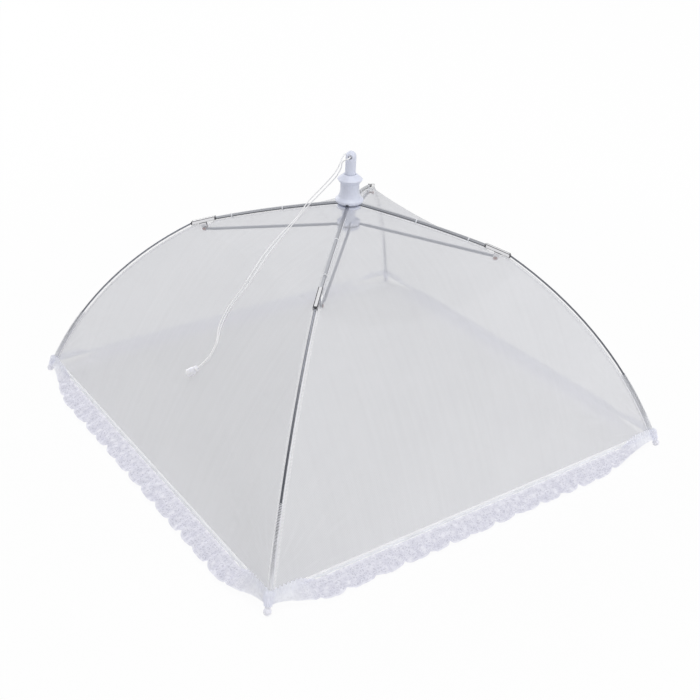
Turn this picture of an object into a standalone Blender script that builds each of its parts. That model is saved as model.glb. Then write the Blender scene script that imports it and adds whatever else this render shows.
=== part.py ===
"""A square pop-up food cover: four sewn mesh panels with a lace hem, on four ribs that fold like a
small umbrella's. A post on the runner slides through the crown, and a cord through its eye pulls the
cover open. Metres, +Z up. The ribs' tips stand on z = 0, and the crown is over the origin.

A rib is drawn in its own upright plane: reach is the distance from the axis, height is z, and across is
the distance from that plane, counter-clockwise as seen from above."""

import math

import bmesh
import bpy
from mathutils import Matrix, Vector

# The scene starts empty
for old in list(bpy.data.objects):
    bpy.data.objects.remove(old)

# Clearances
GAP = 0.0003
OVERRUN = 0.003

# Overall sizes
SIDE = 0.400
RIB_PIVOT_HEIGHT = 0.196
PIVOT_RING_RADIUS = 0.008
RUNNER_DROP = 0.018

# Tie wires, on which the ribs and the stretchers turn
TIE_WIRE_RADIUS = 0.0005
TIE_WIRE_OPENING = math.radians(14)
EYE_RADIUS = 0.0019
EYE_HOLE_RADIUS = 0.0011

# Upper rib, a folded steel channel
RIB_WIDTH = 0.0020
RIB_HEIGHT = 0.0022
RIB_WALL = 0.0004
RIB_LUG = 0.005
UPPER_RIB_BOW = 0.0015

# Clip, which joins the channel to the spring wire and carries the stretcher
CLIP_REACH = 0.114
CLIP_DROP = 0.025
CLIP_SLOPE = math.radians(18.8)
CLIP_LENGTH = 0.0232
CLIP_WALL = 0.0004
CLIP_LEAD_IN = 0.0009
EAR_RADIUS = 0.0023
EAR_FILLET = 0.0012
RIVET_SETBACK = 0.0124
RIVET_DROP = 0.0064
RIVET_RADIUS = 0.0008
RIVET_HEAD_RADIUS = 0.0016
RIVET_HEAD_HEIGHT = 0.0006
RIVET_HEAD_FLAT_SHARE = 0.5
RIVET_HEAD_RIM_SHARE = 0.35
SPLICE_GAP = 0.0015

# Lower rib, a spring wire, and the cap on its tip
WIRE_RADIUS = 0.0009
LOWER_RIB_BOW = 0.016
CAP_RADIUS = 0.003
CAP_COLLAR_RADIUS = 0.0022
CAP_LENGTH = 0.0095
CAP_NECK = 0.0035
STANDING_FLAT = 0.0004
FOLDED_CLEARANCE = 0.0027

# Stretcher, a channel beside the rib, with flat ends
STRETCHER_WIDTH = 0.0018
STRETCHER_HEIGHT = 0.0020
STRETCHER_WALL = 0.0004
STRETCHER_BLADE = 0.001
STRETCHER_BLADE_LENGTH = 0.0075

# Crown, a turned spool with a slotted hub below it
HUB_RADIUS = 0.0098
HUB_DEPTH = 0.0035
BELL_CLEARANCE = 0.002
BELL_RADIUS = 0.0117
BELL_RIM = 0.0024
BELL_HEIGHT = 0.0095
WAIST_RADIUS = 0.0079
WAIST_HEIGHT = 0.0059
CROWN_FLANGE_RADIUS = 0.0104
CROWN_FLARE = 0.0037
CROWN_CONE = 0.0039
CROWN_LIP_RADIUS = 0.0063
COVE_OUT_SHARES = (0.45, 0.12)
COVE_UP_SHARES = (0.25, 0.62)
SLOT_POCKET = 0.0006
SLOT_FLOOR = 0.0011
EDGE_ROUND = 0.0006

# Runner and the pull post that is pressed into it
RUNNER_FLANGE_RADIUS = 0.0096
RUNNER_FLANGE_HEIGHT = 0.0035
SLEEVE_RADIUS = 0.0056
POST_RADIUS = 0.0044
POST_ABOVE_CROWN = 0.0195
POST_EYE_RADIUS = 0.0018
POST_FOOT_RADIUS = 0.006
POST_FOOT_HEIGHT = 0.0015

# Net, hem binding and lace
NET_THICKNESS = 0.0005
NET_SAG = 0.008
NET_SAG_SKEW = 0.7
NET_SQUARE_REACH = 0.045
NOTCH_CLEARANCE = 0.0012
HEM_HEIGHT = 0.013
HEM_SLOPE_SHARE = 0.98
BINDING_WIDTH = 0.003
BINDING_THICKNESS = 0.001
BINDING_CORNER = 0.0026
LACE_RUN = 0.017
LACE_DROP = 0.0058
LACE_THICKNESS = 0.0006
LACE_RUFFLE = 0.0011
LACE_SCALLOP = 0.0036
LACE_CORNER = 0.004
SCALLOPS = 16
RUFFLES = 9

# Pull cord and its stopper
CORD_RADIUS = 0.0005
CORD_SPREAD = 0.00078
STOPPER_RADIUS = 0.0034
STOPPER_NECK_RADIUS = 0.0024
STOPPER_NECK = 0.0022
STOPPER_LENGTH = 0.0095
STOPPER_WALL = 0.0008

# The cord's route, from the eye to the net. It is doubled, and both strands end in the stopper.
UPPER_STRAND = [
    (0.0029, 0.0029, 0.2365),
    (0.0049, 0.0052, 0.2364),
    (0.0041, 0.0080, 0.2361),
    (0.0008, 0.0090, 0.2354),
    (-0.0032, 0.0075, 0.2333),
    (-0.0064, 0.0061, 0.2291),
    (-0.0100, 0.0079, 0.2210),
    (-0.0176, 0.0139, 0.2088),
    (-0.0273, 0.0196, 0.1961),
]
LOWER_STRAND = [
    (-0.0029, -0.0029, 0.2365),
    (-0.0051, -0.0049, 0.2364),
    (-0.0077, -0.0046, 0.2357),
    (-0.0088, -0.0018, 0.2338),
    (-0.0076, 0.0016, 0.2305),
    (-0.0066, 0.0042, 0.2255),
    (-0.0096, 0.0076, 0.2170),
    (-0.0172, 0.0130, 0.2060),
    (-0.0278, 0.0179, 0.1936),
]
CORD_ON_NET = [
    (-0.0373, 0.0188, 0.1852),
    (-0.0478, 0.0145, 0.1806),
    (-0.0617, 0.0087, 0.1750),
    (-0.0801, 0.0004, 0.1667),
    (-0.0942, -0.0062, 0.1577),
    (-0.1061, -0.0086, 0.1465),
    (-0.1188, -0.0085, 0.1333),
    (-0.1290, -0.0125, 0.1224),
    (-0.1372, -0.0206, 0.1128),
    (-0.1447, -0.0217, 0.1028),
    (-0.1528, -0.0181, 0.0941),
]
STOPPER_ALONG = Vector((-0.55, 0.55, -0.63))

# Roundness
TURNED_STEPS = 24
RING_STEPS = 24
CAP_STEPS = 14
SMALL_STEPS = 12

CORNERS = {"front_left": 225, "front_right": 315, "back_right": 45, "back_left": 135}
SIDES = {"front": 0, "right": 90, "back": 180, "left": 270}

# What follows from the sizes above
CROWN_PIVOT = Vector((PIVOT_RING_RADIUS, RIB_PIVOT_HEIGHT))
CLIP_HEIGHT = RIB_PIVOT_HEIGHT - CLIP_DROP
CLIP_START = Vector((CLIP_REACH, CLIP_HEIGHT))
CLIP_ALONG = Vector((math.cos(CLIP_SLOPE), -math.sin(CLIP_SLOPE)))
CLIP_END = CLIP_START + CLIP_LENGTH * CLIP_ALONG
TIP = Vector((SIDE / math.sqrt(2) - CAP_RADIUS, CAP_RADIUS - STANDING_FLAT))
CLIP_INNER_HALF = RIB_WIDTH / 2 + GAP
CLIP_HALF = CLIP_INNER_HALF + CLIP_WALL
STRETCHER_NEAR = CLIP_HALF + GAP
STRETCHER_FAR = STRETCHER_NEAR + STRETCHER_WIDTH
BLADE_FAR = STRETCHER_NEAR + STRETCHER_BLADE
STRETCHER_MIDDLE = STRETCHER_NEAR + STRETCHER_BLADE / 2
RUNNER_PIVOT = Vector(
    (math.sqrt(PIVOT_RING_RADIUS**2 - STRETCHER_MIDDLE**2), RIB_PIVOT_HEIGHT - RUNNER_DROP)
)
HUB_BOTTOM = RIB_PIVOT_HEIGHT - HUB_DEPTH
BELL_BOTTOM = RIB_PIVOT_HEIGHT + BELL_CLEARANCE
CROWN_TOP = BELL_BOTTOM + BELL_HEIGHT + WAIST_HEIGHT + CROWN_FLARE + CROWN_CONE
BORE_RADIUS = POST_RADIUS + GAP
RUNNER_BOTTOM = RUNNER_PIVOT.y - RUNNER_FLANGE_HEIGHT
NET_OFFSET = RIB_HEIGHT / 2 + GAP + NET_THICKNESS


def upwards(along):
    """The normal of a direction in a rib's plane, on the side away from the food."""
    return Vector((-along.y, along.x))


RIVET = CLIP_START + RIVET_SETBACK * CLIP_ALONG - RIVET_DROP * upwards(CLIP_ALONG)
STRETCHER_LENGTH = (RIVET - RUNNER_PIVOT).length
STRETCHER_ALONG = (RIVET - RUNNER_PIVOT).normalized()


def bowed(start, end, bow, share):
    """The point and direction at a share of the way along an arc that bows outwards from its chord."""
    chord = end - start
    along = chord.normalized()
    out = upwards(along)
    half_angle = 2 * math.atan(2 * bow / chord.length)
    radius = chord.length / (2 * math.sin(half_angle))
    centre = (start + end) / 2 - out * radius * math.cos(half_angle)
    turn = half_angle * (2 * share - 1)
    point = centre + radius * (out * math.cos(turn) + along * math.sin(turn))
    return point, along * math.cos(turn) - out * math.sin(turn)


def upper_rib_at(share):
    return bowed(CROWN_PIVOT, CLIP_START, UPPER_RIB_BOW, share)


def lower_rib_at(share):
    return bowed(CLIP_END, TIP, LOWER_RIB_BOW, share)


UPPER_CHORD = (CLIP_START - CROWN_PIVOT).length
LOWER_CHORD = (TIP - CLIP_END).length
RIB_LENGTH = UPPER_CHORD + CLIP_LENGTH + LOWER_CHORD


def rib_at(share):
    """The rib's centreline from the crown's pivot to the tip, as one line with three stretches."""
    way = share * RIB_LENGTH
    if way < UPPER_CHORD:
        return upper_rib_at(way / UPPER_CHORD)
    way -= UPPER_CHORD
    if way < CLIP_LENGTH:
        return CLIP_START + way * CLIP_ALONG, CLIP_ALONG
    return lower_rib_at((way - CLIP_LENGTH) / LOWER_CHORD)


def net_corner_at(share):
    """Where two net panels meet, just inside the rib."""
    point, along = rib_at(share)
    return point - NET_OFFSET * upwards(along)


def share_at_height(height):
    """The share of the rib at which the net's corner line has come down to a height."""
    low, high = 0.5, 1.0
    for _ in range(40):
        middle = (low + high) / 2
        if net_corner_at(middle).y > height:
            low = middle
        else:
            high = middle
    return low


# Materials
def material(name, colour, roughness, metallic=0.0, alpha=1.0):
    made = bpy.data.materials.new(name)
    made.use_nodes = True
    shader = made.node_tree.nodes["Principled BSDF"]
    shader.inputs["Base Color"].default_value = (*colour, 1.0)
    shader.inputs["Roughness"].default_value = roughness
    shader.inputs["Metallic"].default_value = metallic
    shader.inputs["Alpha"].default_value = alpha
    return made


# Modelling helpers
def finish(name, shape, surface, smooth=30):
    """Turns a bmesh into a named object with outward normals and smooth round faces."""
    bmesh.ops.remove_doubles(shape, verts=shape.verts, dist=GAP / 1000)
    bmesh.ops.recalc_face_normals(shape, faces=shape.faces)
    mesh = bpy.data.meshes.new(name)
    shape.to_mesh(mesh)
    shape.free()
    mesh.shade_smooth()
    mesh.set_sharp_from_angle(angle=math.radians(smooth))
    if surface:
        mesh.materials.append(surface)
    obj = bpy.data.objects.new(name, mesh)
    bpy.context.scene.collection.objects.link(obj)
    return obj


def turned(name, outline, surface=None, steps=TURNED_STEPS, closed=True):
    """A solid of revolution about Z. A closed outline leaves a bore, and an open one starts and ends on Z."""
    shape = bmesh.new()
    verts = [shape.verts.new((radius, 0, height)) for radius, height in outline]
    pairs = list(zip(verts, verts[1:])) + ([(verts[-1], verts[0])] if closed else [])
    edges = [shape.edges.new(pair) for pair in pairs]
    bmesh.ops.spin(
        shape,
        geom=verts + edges,
        axis=(0, 0, 1),
        cent=(0, 0, 0),
        steps=steps,
        angle=2 * math.pi,
        use_merge=True,
    )
    return finish(name, shape, surface)


def plate(name, outline, near, far, surface=None):
    """An outline in a rib's plane, as thick as from near to far across it."""
    shape = bmesh.new()
    face = shape.faces.new([shape.verts.new((reach, near, height)) for reach, height in outline])
    grown = bmesh.ops.extrude_face_region(shape, geom=[face])["geom"]
    moved = [item for item in grown if isinstance(item, bmesh.types.BMVert)]
    bmesh.ops.translate(shape, verts=moved, vec=(0, far - near, 0))
    return finish(name, shape, surface)


def pin_cutter(centre, radius, near, far):
    """A round cutter across a rib's plane."""
    steps = [2 * math.pi * step / SMALL_STEPS for step in range(SMALL_STEPS)]
    outline = [centre + radius * Vector((math.cos(turn), math.sin(turn))) for turn in steps]
    return plate("pin_cutter", outline, near, far)


def beside(origin, along, points):
    """Points given as (distance along, distance up from a line), in a rib's plane."""
    return [origin + along * ahead + upwards(along) * up for ahead, up in points]


def arc(centre, radius, start, end, steps):
    """Points on an arc, from one angle in degrees to another."""
    turns = [math.radians(start + (end - start) * step / steps) for step in range(steps + 1)]
    return [(centre[0] + radius * math.cos(t), centre[1] + radius * math.sin(t)) for t in turns]


def cut(obj, cutters):
    """Cuts the cutters from an object, applies the cuts and removes the cutters."""
    for cutter in cutters:
        modifier = obj.modifiers.new("cut", "BOOLEAN")
        modifier.operation = "DIFFERENCE"
        modifier.solver = "EXACT"
        modifier.object = cutter
    apply_modifiers(obj)
    for cutter in cutters:
        bpy.data.objects.remove(cutter)


def apply_modifiers(obj):
    bpy.context.view_layer.update()
    graph = bpy.context.evaluated_depsgraph_get()
    mesh = bpy.data.meshes.new_from_object(obj.evaluated_get(graph))
    obj.modifiers.clear()
    obj.data = mesh


def box_cutter(low, high):
    shape = bmesh.new()
    bmesh.ops.create_cube(shape, size=1)
    low = Vector(low)
    high = Vector(high)
    bmesh.ops.scale(shape, verts=shape.verts, vec=high - low)
    bmesh.ops.translate(shape, verts=shape.verts, vec=(low + high) / 2)
    return finish("box_cutter", shape, None)


def wire(name, points, radius, surface, resolution=2):
    """A round wire or cord through points, with flat ends."""
    curve = bpy.data.curves.new(name, "CURVE")
    curve.dimensions = "3D"
    curve.bevel_depth = radius
    curve.bevel_resolution = resolution
    curve.use_fill_caps = True
    curve.materials.append(surface)
    spline = curve.splines.new("POLY")
    spline.points.add(len(points) - 1)
    for place, point in zip(spline.points, points):
        place.co = (*point, 1)
    obj = bpy.data.objects.new(name, curve)
    bpy.context.scene.collection.objects.link(obj)
    return obj


def sheet(name, columns, rows, place, thickness, surface):
    """A thin closed solid: place gives the middle surface for shares from -1 to 1 across and 0 to 1 down."""
    shape = bmesh.new()
    bmesh.ops.create_grid(shape, x_segments=columns, y_segments=rows, size=1)
    for vert in shape.verts:
        vert.co = place(vert.co.x, (1 - vert.co.y) / 2)
    obj = finish(name, shape, surface)
    solidify = obj.modifiers.new("thickness", "SOLIDIFY")
    solidify.thickness = thickness
    solidify.offset = 0
    return obj


def repeat(master, suffix, turns, pivot=None):
    """Copies a piece round the axis, one per name. A piece that turns has its parent empty on its pivot."""
    for name, degrees in turns.items():
        obj = bpy.data.objects.new(f"{name}_{suffix}", master.data)
        bpy.context.scene.collection.objects.link(obj)
        if pivot is None:
            obj.rotation_euler.z = math.radians(degrees)
            continue
        holder = pivots[pivot][name]
        obj.parent = holder
        obj.location = -Vector(pivot_place[pivot])
    bpy.data.objects.remove(master)


white_plastic = material("white_plastic", (0.83, 0.83, 0.90), 0.35)
clear_plastic = material("milky_plastic", (0.86, 0.87, 0.89), 0.3)
steel = material("drawn_steel", (0.32, 0.33, 0.35), 0.32, 1.0)
clip_steel = material("clip_steel", (0.20, 0.20, 0.22), 0.3, 1.0)
rivet_copper = material("rivet_copper", (0.30, 0.12, 0.09), 0.45, 1.0)
net_white = material("net_white", (0.82, 0.83, 0.85), 0.8, 0.0, 0.35)
binding_white = material("binding_white", (0.90, 0.90, 0.92), 0.8)
lace_white = material("lace_white", (0.80, 0.81, 0.86), 0.85)
cord_white = material("cord_white", (0.85, 0.85, 0.86), 0.7)

# Empties on the joints' axes
pivot_place = {
    "rib": (CROWN_PIVOT.x, 0, CROWN_PIVOT.y),
    "stretcher": (RUNNER_PIVOT.x, STRETCHER_MIDDLE, RUNNER_PIVOT.y),
}
pivots = {}
for kind, place in pivot_place.items():
    pivots[kind] = {}
    for corner, degrees in CORNERS.items():
        turn = Matrix.Rotation(math.radians(degrees), 4, "Z")
        holder = bpy.data.objects.new(f"{corner}_{kind}_pivot", None)
        holder.matrix_world = turn @ Matrix.Translation(place)
        bpy.context.scene.collection.objects.link(holder)
        pivots[kind][corner] = holder


# Crown
def ring_groove(height, radius):
    """The four outline points of a tie wire's groove, from the bottom up."""
    half = TIE_WIRE_RADIUS + GAP
    floor = PIVOT_RING_RADIUS - TIE_WIRE_RADIUS - GAP
    return [
        (radius, height - half),
        (floor, height - half),
        (floor, height + half),
        (radius, height + half),
    ]


def crown():
    waist_low = BELL_BOTTOM + BELL_HEIGHT
    waist_high = waist_low + WAIST_HEIGHT
    flange = waist_high + CROWN_FLARE
    rim = BELL_BOTTOM + BELL_RIM
    cove = BELL_RADIUS - EDGE_ROUND - WAIST_RADIUS
    outline = [
        (BORE_RADIUS, HUB_BOTTOM),
        (HUB_RADIUS, HUB_BOTTOM),
        *ring_groove(RIB_PIVOT_HEIGHT, HUB_RADIUS),
        (HUB_RADIUS, BELL_BOTTOM),
        (BELL_RADIUS - EDGE_ROUND / 2, BELL_BOTTOM),
        (BELL_RADIUS, BELL_BOTTOM + EDGE_ROUND),
        (BELL_RADIUS, rim - EDGE_ROUND),
        (BELL_RADIUS - EDGE_ROUND, rim),
        *[
            (WAIST_RADIUS + cove * out, rim + (waist_low - rim) * up)
            for out, up in zip(COVE_OUT_SHARES, COVE_UP_SHARES)
        ],
        (WAIST_RADIUS, waist_low),
        (WAIST_RADIUS, waist_high),
        (CROWN_FLANGE_RADIUS, flange - EDGE_ROUND / 2),
        (CROWN_FLANGE_RADIUS, flange),
        (CROWN_LIP_RADIUS, CROWN_TOP - EDGE_ROUND / 2),
        (CROWN_LIP_RADIUS - EDGE_ROUND, CROWN_TOP),
        (BORE_RADIUS, CROWN_TOP),
    ]
    obj = turned("crown", outline, white_plastic)
    half = RIB_WIDTH / 2 + GAP
    slots = []
    for degrees in CORNERS.values():
        slot = box_cutter(
            (BORE_RADIUS + SLOT_FLOOR, -half, HUB_BOTTOM - OVERRUN),
            (BELL_RADIUS + OVERRUN, half, BELL_BOTTOM + SLOT_POCKET),
        )
        slot.rotation_euler.z = math.radians(degrees)
        slots.append(slot)
    cut(obj, slots)


def tie_wire(name, height):
    """A ring of wire that is open between two slots."""
    whole = 2 * math.pi - TIE_WIRE_OPENING
    turns = [
        TIE_WIRE_OPENING / 2 + whole * step / RING_STEPS for step in range(RING_STEPS + 1)
    ]
    points = [
        (PIVOT_RING_RADIUS * math.cos(turn), PIVOT_RING_RADIUS * math.sin(turn), height)
        for turn in turns
    ]
    wire(name, points, TIE_WIRE_RADIUS, steel, 1)


# Runner and post
def runner():
    top = RUNNER_PIVOT.y + RUNNER_FLANGE_HEIGHT
    outline = [
        (BORE_RADIUS, RUNNER_BOTTOM),
        (RUNNER_FLANGE_RADIUS - EDGE_ROUND, RUNNER_BOTTOM),
        (RUNNER_FLANGE_RADIUS, RUNNER_BOTTOM + EDGE_ROUND),
        *ring_groove(RUNNER_PIVOT.y, RUNNER_FLANGE_RADIUS),
        (RUNNER_FLANGE_RADIUS, top - EDGE_ROUND),
        (RUNNER_FLANGE_RADIUS - EDGE_ROUND, top),
        (SLEEVE_RADIUS + EDGE_ROUND, top),
        (SLEEVE_RADIUS, top + EDGE_ROUND),
        (SLEEVE_RADIUS, HUB_BOTTOM - GAP),
        (BORE_RADIUS, HUB_BOTTOM - GAP),
    ]
    obj = turned("runner", outline, white_plastic)
    inner = RUNNER_PIVOT.x - EYE_RADIUS - GAP
    slots = []
    for degrees in CORNERS.values():
        slot = box_cutter(
            (inner, STRETCHER_NEAR - GAP, RUNNER_BOTTOM - OVERRUN),
            (RUNNER_FLANGE_RADIUS + OVERRUN, BLADE_FAR + GAP, top + OVERRUN),
        )
        slot.rotation_euler.z = math.radians(degrees)
        slots.append(slot)
    cut(obj, slots)


def pull_post():
    top = CROWN_TOP + POST_ABOVE_CROWN
    eye = top - POST_RADIUS
    foot = RUNNER_BOTTOM - GAP
    dome = arc((0, eye), POST_RADIUS, 0, 90, 6)
    outline = [
        (0, foot - POST_FOOT_HEIGHT),
        (POST_FOOT_RADIUS - EDGE_ROUND, foot - POST_FOOT_HEIGHT),
        (POST_FOOT_RADIUS, foot - POST_FOOT_HEIGHT + EDGE_ROUND),
        (POST_FOOT_RADIUS, foot),
        (POST_RADIUS, foot),
        *dome[:-1],
        (0, top),
    ]
    obj = turned("pull_post", outline, white_plastic, closed=False)
    hole = pin_cutter(Vector((0, eye)), POST_EYE_RADIUS, -POST_FOOT_RADIUS, POST_FOOT_RADIUS)
    hole.rotation_euler.z = math.radians(CORNERS["front_left"] + 90)
    cut(obj, [hole])


# Ribs
def channel_outline(stations, low, high):
    """The side view of a strip along stations, between two heights above its centreline."""
    top = [point + high * upwards(along) for point, along in stations]
    bottom = [point + low * upwards(along) for point, along in stations]
    return top + bottom[::-1]


def upper_rib():
    half = RIB_HEIGHT / 2
    inside = RIVET_SETBACK - SPLICE_GAP
    tail = (CLIP_START + inside * CLIP_ALONG, CLIP_ALONG)
    stations = [upper_rib_at(share / 10) for share in range(1, 11)] + [tail]
    _, along = upper_rib_at(0)
    meet = math.degrees(math.asin(half / EYE_RADIUS))
    eye = beside(CROWN_PIVOT, along, arc((0, 0), EYE_RADIUS, 360 - meet, meet, 10))
    sides = channel_outline(stations, -half, half)
    obj = plate("upper_rib", sides + eye, -RIB_WIDTH / 2, RIB_WIDTH / 2, steel)
    lug_share = RIB_LUG / UPPER_CHORD
    shares = [lug_share + (1 - lug_share) * step / 10 for step in range(11)]
    end = (CLIP_START + (inside + OVERRUN) * CLIP_ALONG, CLIP_ALONG)
    inner = channel_outline(
        [upper_rib_at(share) for share in shares] + [end], -half - OVERRUN, half - RIB_WALL
    )
    channel = plate("channel_cutter", inner, RIB_WALL - RIB_WIDTH / 2, RIB_WIDTH / 2 - RIB_WALL)
    hole = pin_cutter(CROWN_PIVOT, EYE_HOLE_RADIUS, -RIB_WIDTH, RIB_WIDTH)
    cut(obj, [channel, hole])
    repeat(obj, "upper_rib", CORNERS, "rib")


def rib_clip():
    top = RIB_HEIGHT / 2 + GAP + CLIP_WALL
    bottom = -RIB_HEIGHT / 2
    ear = (RIVET_SETBACK, -RIVET_DROP)
    outline = [
        (CLIP_LEAD_IN, top),
        (CLIP_LENGTH - CLIP_LEAD_IN, top),
        (CLIP_LENGTH, top - CLIP_LEAD_IN),
        (CLIP_LENGTH, bottom),
        (RIVET_SETBACK + EAR_RADIUS + EAR_FILLET, bottom),
        (RIVET_SETBACK + EAR_RADIUS, bottom - EAR_FILLET),
        *arc(ear, EAR_RADIUS, 0, -180, 8),
        (RIVET_SETBACK - EAR_RADIUS, bottom - EAR_FILLET),
        (RIVET_SETBACK - EAR_RADIUS - EAR_FILLET, bottom),
        (0, bottom),
        (0, top - CLIP_LEAD_IN),
    ]
    shape = beside(CLIP_START, CLIP_ALONG, outline)
    obj = plate("rib_clip", shape, -CLIP_HALF, CLIP_HALF, clip_steel)
    inside = [
        (-OVERRUN, top - CLIP_WALL),
        (CLIP_LENGTH + OVERRUN, top - CLIP_WALL),
        (CLIP_LENGTH + OVERRUN, -RIVET_DROP - EAR_RADIUS - OVERRUN),
        (-OVERRUN, -RIVET_DROP - EAR_RADIUS - OVERRUN),
    ]
    inner = beside(CLIP_START, CLIP_ALONG, inside)
    hollow = plate("hollow_cutter", inner, -CLIP_INNER_HALF, CLIP_INNER_HALF)
    hole = pin_cutter(RIVET, RIVET_RADIUS + GAP, -CLIP_HALF - OVERRUN, CLIP_HALF + OVERRUN)
    cut(obj, [hollow, hole])
    repeat(obj, "rib_clip", CORNERS, "rib")


def across_pin(name, outline, suffix, pivot):
    """A pin turned about a line across the rib's plane, through the rivet's place."""
    obj = turned(name, outline, rivet_copper, SMALL_STEPS, closed=False)
    place = Matrix.Translation((RIVET.x, 0, RIVET.y))
    obj.data.transform(place @ Matrix.Rotation(math.radians(-90), 4, "X"))
    repeat(obj, suffix, CORNERS, pivot)


def rivets():
    """The rivet is in two pieces, because the fold's chain of joints is open here."""
    head = -CLIP_HALF - GAP
    across_pin(
        "clip_rivet",
        [
            (0, head - RIVET_HEAD_HEIGHT),
            (RIVET_HEAD_RADIUS * RIVET_HEAD_FLAT_SHARE, head - RIVET_HEAD_HEIGHT),
            (RIVET_HEAD_RADIUS, head - RIVET_HEAD_HEIGHT * RIVET_HEAD_RIM_SHARE),
            (RIVET_HEAD_RADIUS, head),
            (RIVET_RADIUS, head),
            (RIVET_RADIUS, CLIP_HALF),
            (0, CLIP_HALF),
        ],
        "clip_rivet",
        "rib",
    )
    head = BLADE_FAR + GAP
    across_pin(
        "rivet_head",
        [
            (0, STRETCHER_NEAR),
            (RIVET_RADIUS, STRETCHER_NEAR),
            (RIVET_RADIUS, head),
            (RIVET_HEAD_RADIUS, head),
            (RIVET_HEAD_RADIUS, head + RIVET_HEAD_HEIGHT * RIVET_HEAD_RIM_SHARE),
            (RIVET_HEAD_RADIUS * RIVET_HEAD_FLAT_SHARE, head + RIVET_HEAD_HEIGHT),
            (0, head + RIVET_HEAD_HEIGHT),
        ],
        "rivet_head",
        "stretcher",
    )


def lower_rib():
    start = CLIP_START + RIVET_SETBACK * CLIP_ALONG
    points = [start] + [lower_rib_at(share / 18)[0] for share in range(19)]
    obj = wire("lower_rib", [(p.x, 0, p.y) for p in points], WIRE_RADIUS, steel)
    repeat(as_mesh(obj), "lower_rib", CORNERS, "rib")


def as_mesh(obj):
    """Replaces a curve object by a mesh object of the same name, so that copies can share it."""
    bpy.context.view_layer.update()
    graph = bpy.context.evaluated_depsgraph_get()
    mesh = bpy.data.meshes.new_from_object(obj.evaluated_get(graph))
    name = obj.name
    bpy.data.objects.remove(obj)
    made = bpy.data.objects.new(name, mesh)
    bpy.context.scene.collection.objects.link(made)
    return made


def tip_cap():
    """A moulded bulb on the wire's end, cut flat where it stands."""
    bore = WIRE_RADIUS + GAP
    outline = [
        (bore, -CAP_LENGTH),
        (CAP_COLLAR_RADIUS, -CAP_LENGTH),
        (CAP_COLLAR_RADIUS, -CAP_NECK - EDGE_ROUND),
        *arc((0, 0), CAP_RADIUS, -50, 90, 6)[:-1],
        (0, CAP_RADIUS),
        (0, GAP),
        (bore, GAP),
    ]
    obj = turned("tip_cap", outline, white_plastic, CAP_STEPS)
    _, along = lower_rib_at(1)
    lean = Vector((0, 0, 1)).rotation_difference(Vector((along.x, 0, along.y)))
    obj.data.transform(Matrix.Translation((TIP.x, 0, TIP.y)) @ lean.to_matrix().to_4x4())
    floor = box_cutter(
        (TIP.x - CAP_LENGTH, -CAP_LENGTH, -CAP_LENGTH), (TIP.x + CAP_LENGTH, CAP_LENGTH, 0)
    )
    cut(obj, [floor])
    repeat(obj, "tip_cap", CORNERS, "rib")


def stretcher():
    half = STRETCHER_HEIGHT / 2
    meet = math.degrees(math.asin(half / EYE_RADIUS))
    near_eye = arc((0, 0), EYE_RADIUS, 360 - meet, meet, 10)
    far_eye = arc((STRETCHER_LENGTH, 0), EYE_RADIUS, 180 - meet, meet - 180, 10)
    shape = beside(RUNNER_PIVOT, STRETCHER_ALONG, near_eye + far_eye)
    obj = plate("stretcher", shape, STRETCHER_NEAR, STRETCHER_FAR, steel)
    cutters = []
    for start, end in (
        (-EYE_RADIUS - OVERRUN, STRETCHER_BLADE_LENGTH),
        (STRETCHER_LENGTH - STRETCHER_BLADE_LENGTH, STRETCHER_LENGTH + EYE_RADIUS + OVERRUN),
    ):
        high = half + OVERRUN
        step = beside(
            RUNNER_PIVOT, STRETCHER_ALONG, [(start, -high), (end, -high), (end, high), (start, high)]
        )
        cutters.append(plate("step_cutter", step, BLADE_FAR, STRETCHER_FAR + OVERRUN))
    start = STRETCHER_BLADE_LENGTH + STRETCHER_WALL
    end = STRETCHER_LENGTH - start
    high = half - STRETCHER_WALL
    low = -half - OVERRUN
    inside = beside(
        RUNNER_PIVOT, STRETCHER_ALONG, [(start, low), (end, low), (end, high), (start, high)]
    )
    wall = STRETCHER_WALL
    cutters.append(plate("inner_cutter", inside, STRETCHER_NEAR + wall, STRETCHER_FAR - wall))
    cutters.append(pin_cutter(RUNNER_PIVOT, EYE_HOLE_RADIUS, 0, STRETCHER_FAR + OVERRUN))
    cutters.append(pin_cutter(RIVET, RIVET_RADIUS + GAP, 0, STRETCHER_FAR + OVERRUN))
    cut(obj, cutters)
    repeat(obj, "stretcher", CORNERS, "stretcher")


# Net, hem and lace, drawn for the front side, whose outward direction is -Y
NET_END = share_at_height(HEM_HEIGHT)
NET_START = (HUB_RADIUS + GAP - CROWN_PIVOT.x) / RIB_LENGTH


def mitre(thickness):
    """How far a sheet stops short of the rib's plane, along the side, so that it clears its neighbour."""
    return (thickness + GAP) / math.sqrt(2)


def net_place(across, down):
    """A net panel's middle surface: straight at the hem, drawn in between the ribs and round at the hub."""
    share = NET_START + (NET_END - NET_START) * down
    corner = net_corner_at(share)
    reach = max(corner.x, HUB_RADIUS + 2 * GAP)
    flat = reach / math.sqrt(2)
    sag = NET_SAG * math.sin(math.pi * down**NET_SAG_SKEW) * (1 - across**2)
    half = flat - mitre(NET_THICKNESS)
    square = Vector((across * half, -(flat - sag), corner.y))
    turn = across * (math.pi / 4 - mitre(NET_THICKNESS) / reach)
    ring = Vector((reach * math.sin(turn), -reach * math.cos(turn), corner.y))
    ease = min(max((reach - HUB_RADIUS) / (NET_SQUARE_REACH - HUB_RADIUS), 0), 1)
    ease = ease * ease * (3 - 2 * ease)
    return ring.lerp(square, ease)


def hem_frame():
    """The middle of the net's lower edge, and the net's direction down there."""
    last = net_place(0, 1)
    before = net_place(0, HEM_SLOPE_SHARE)
    return last, (last - before).normalized()


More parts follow.
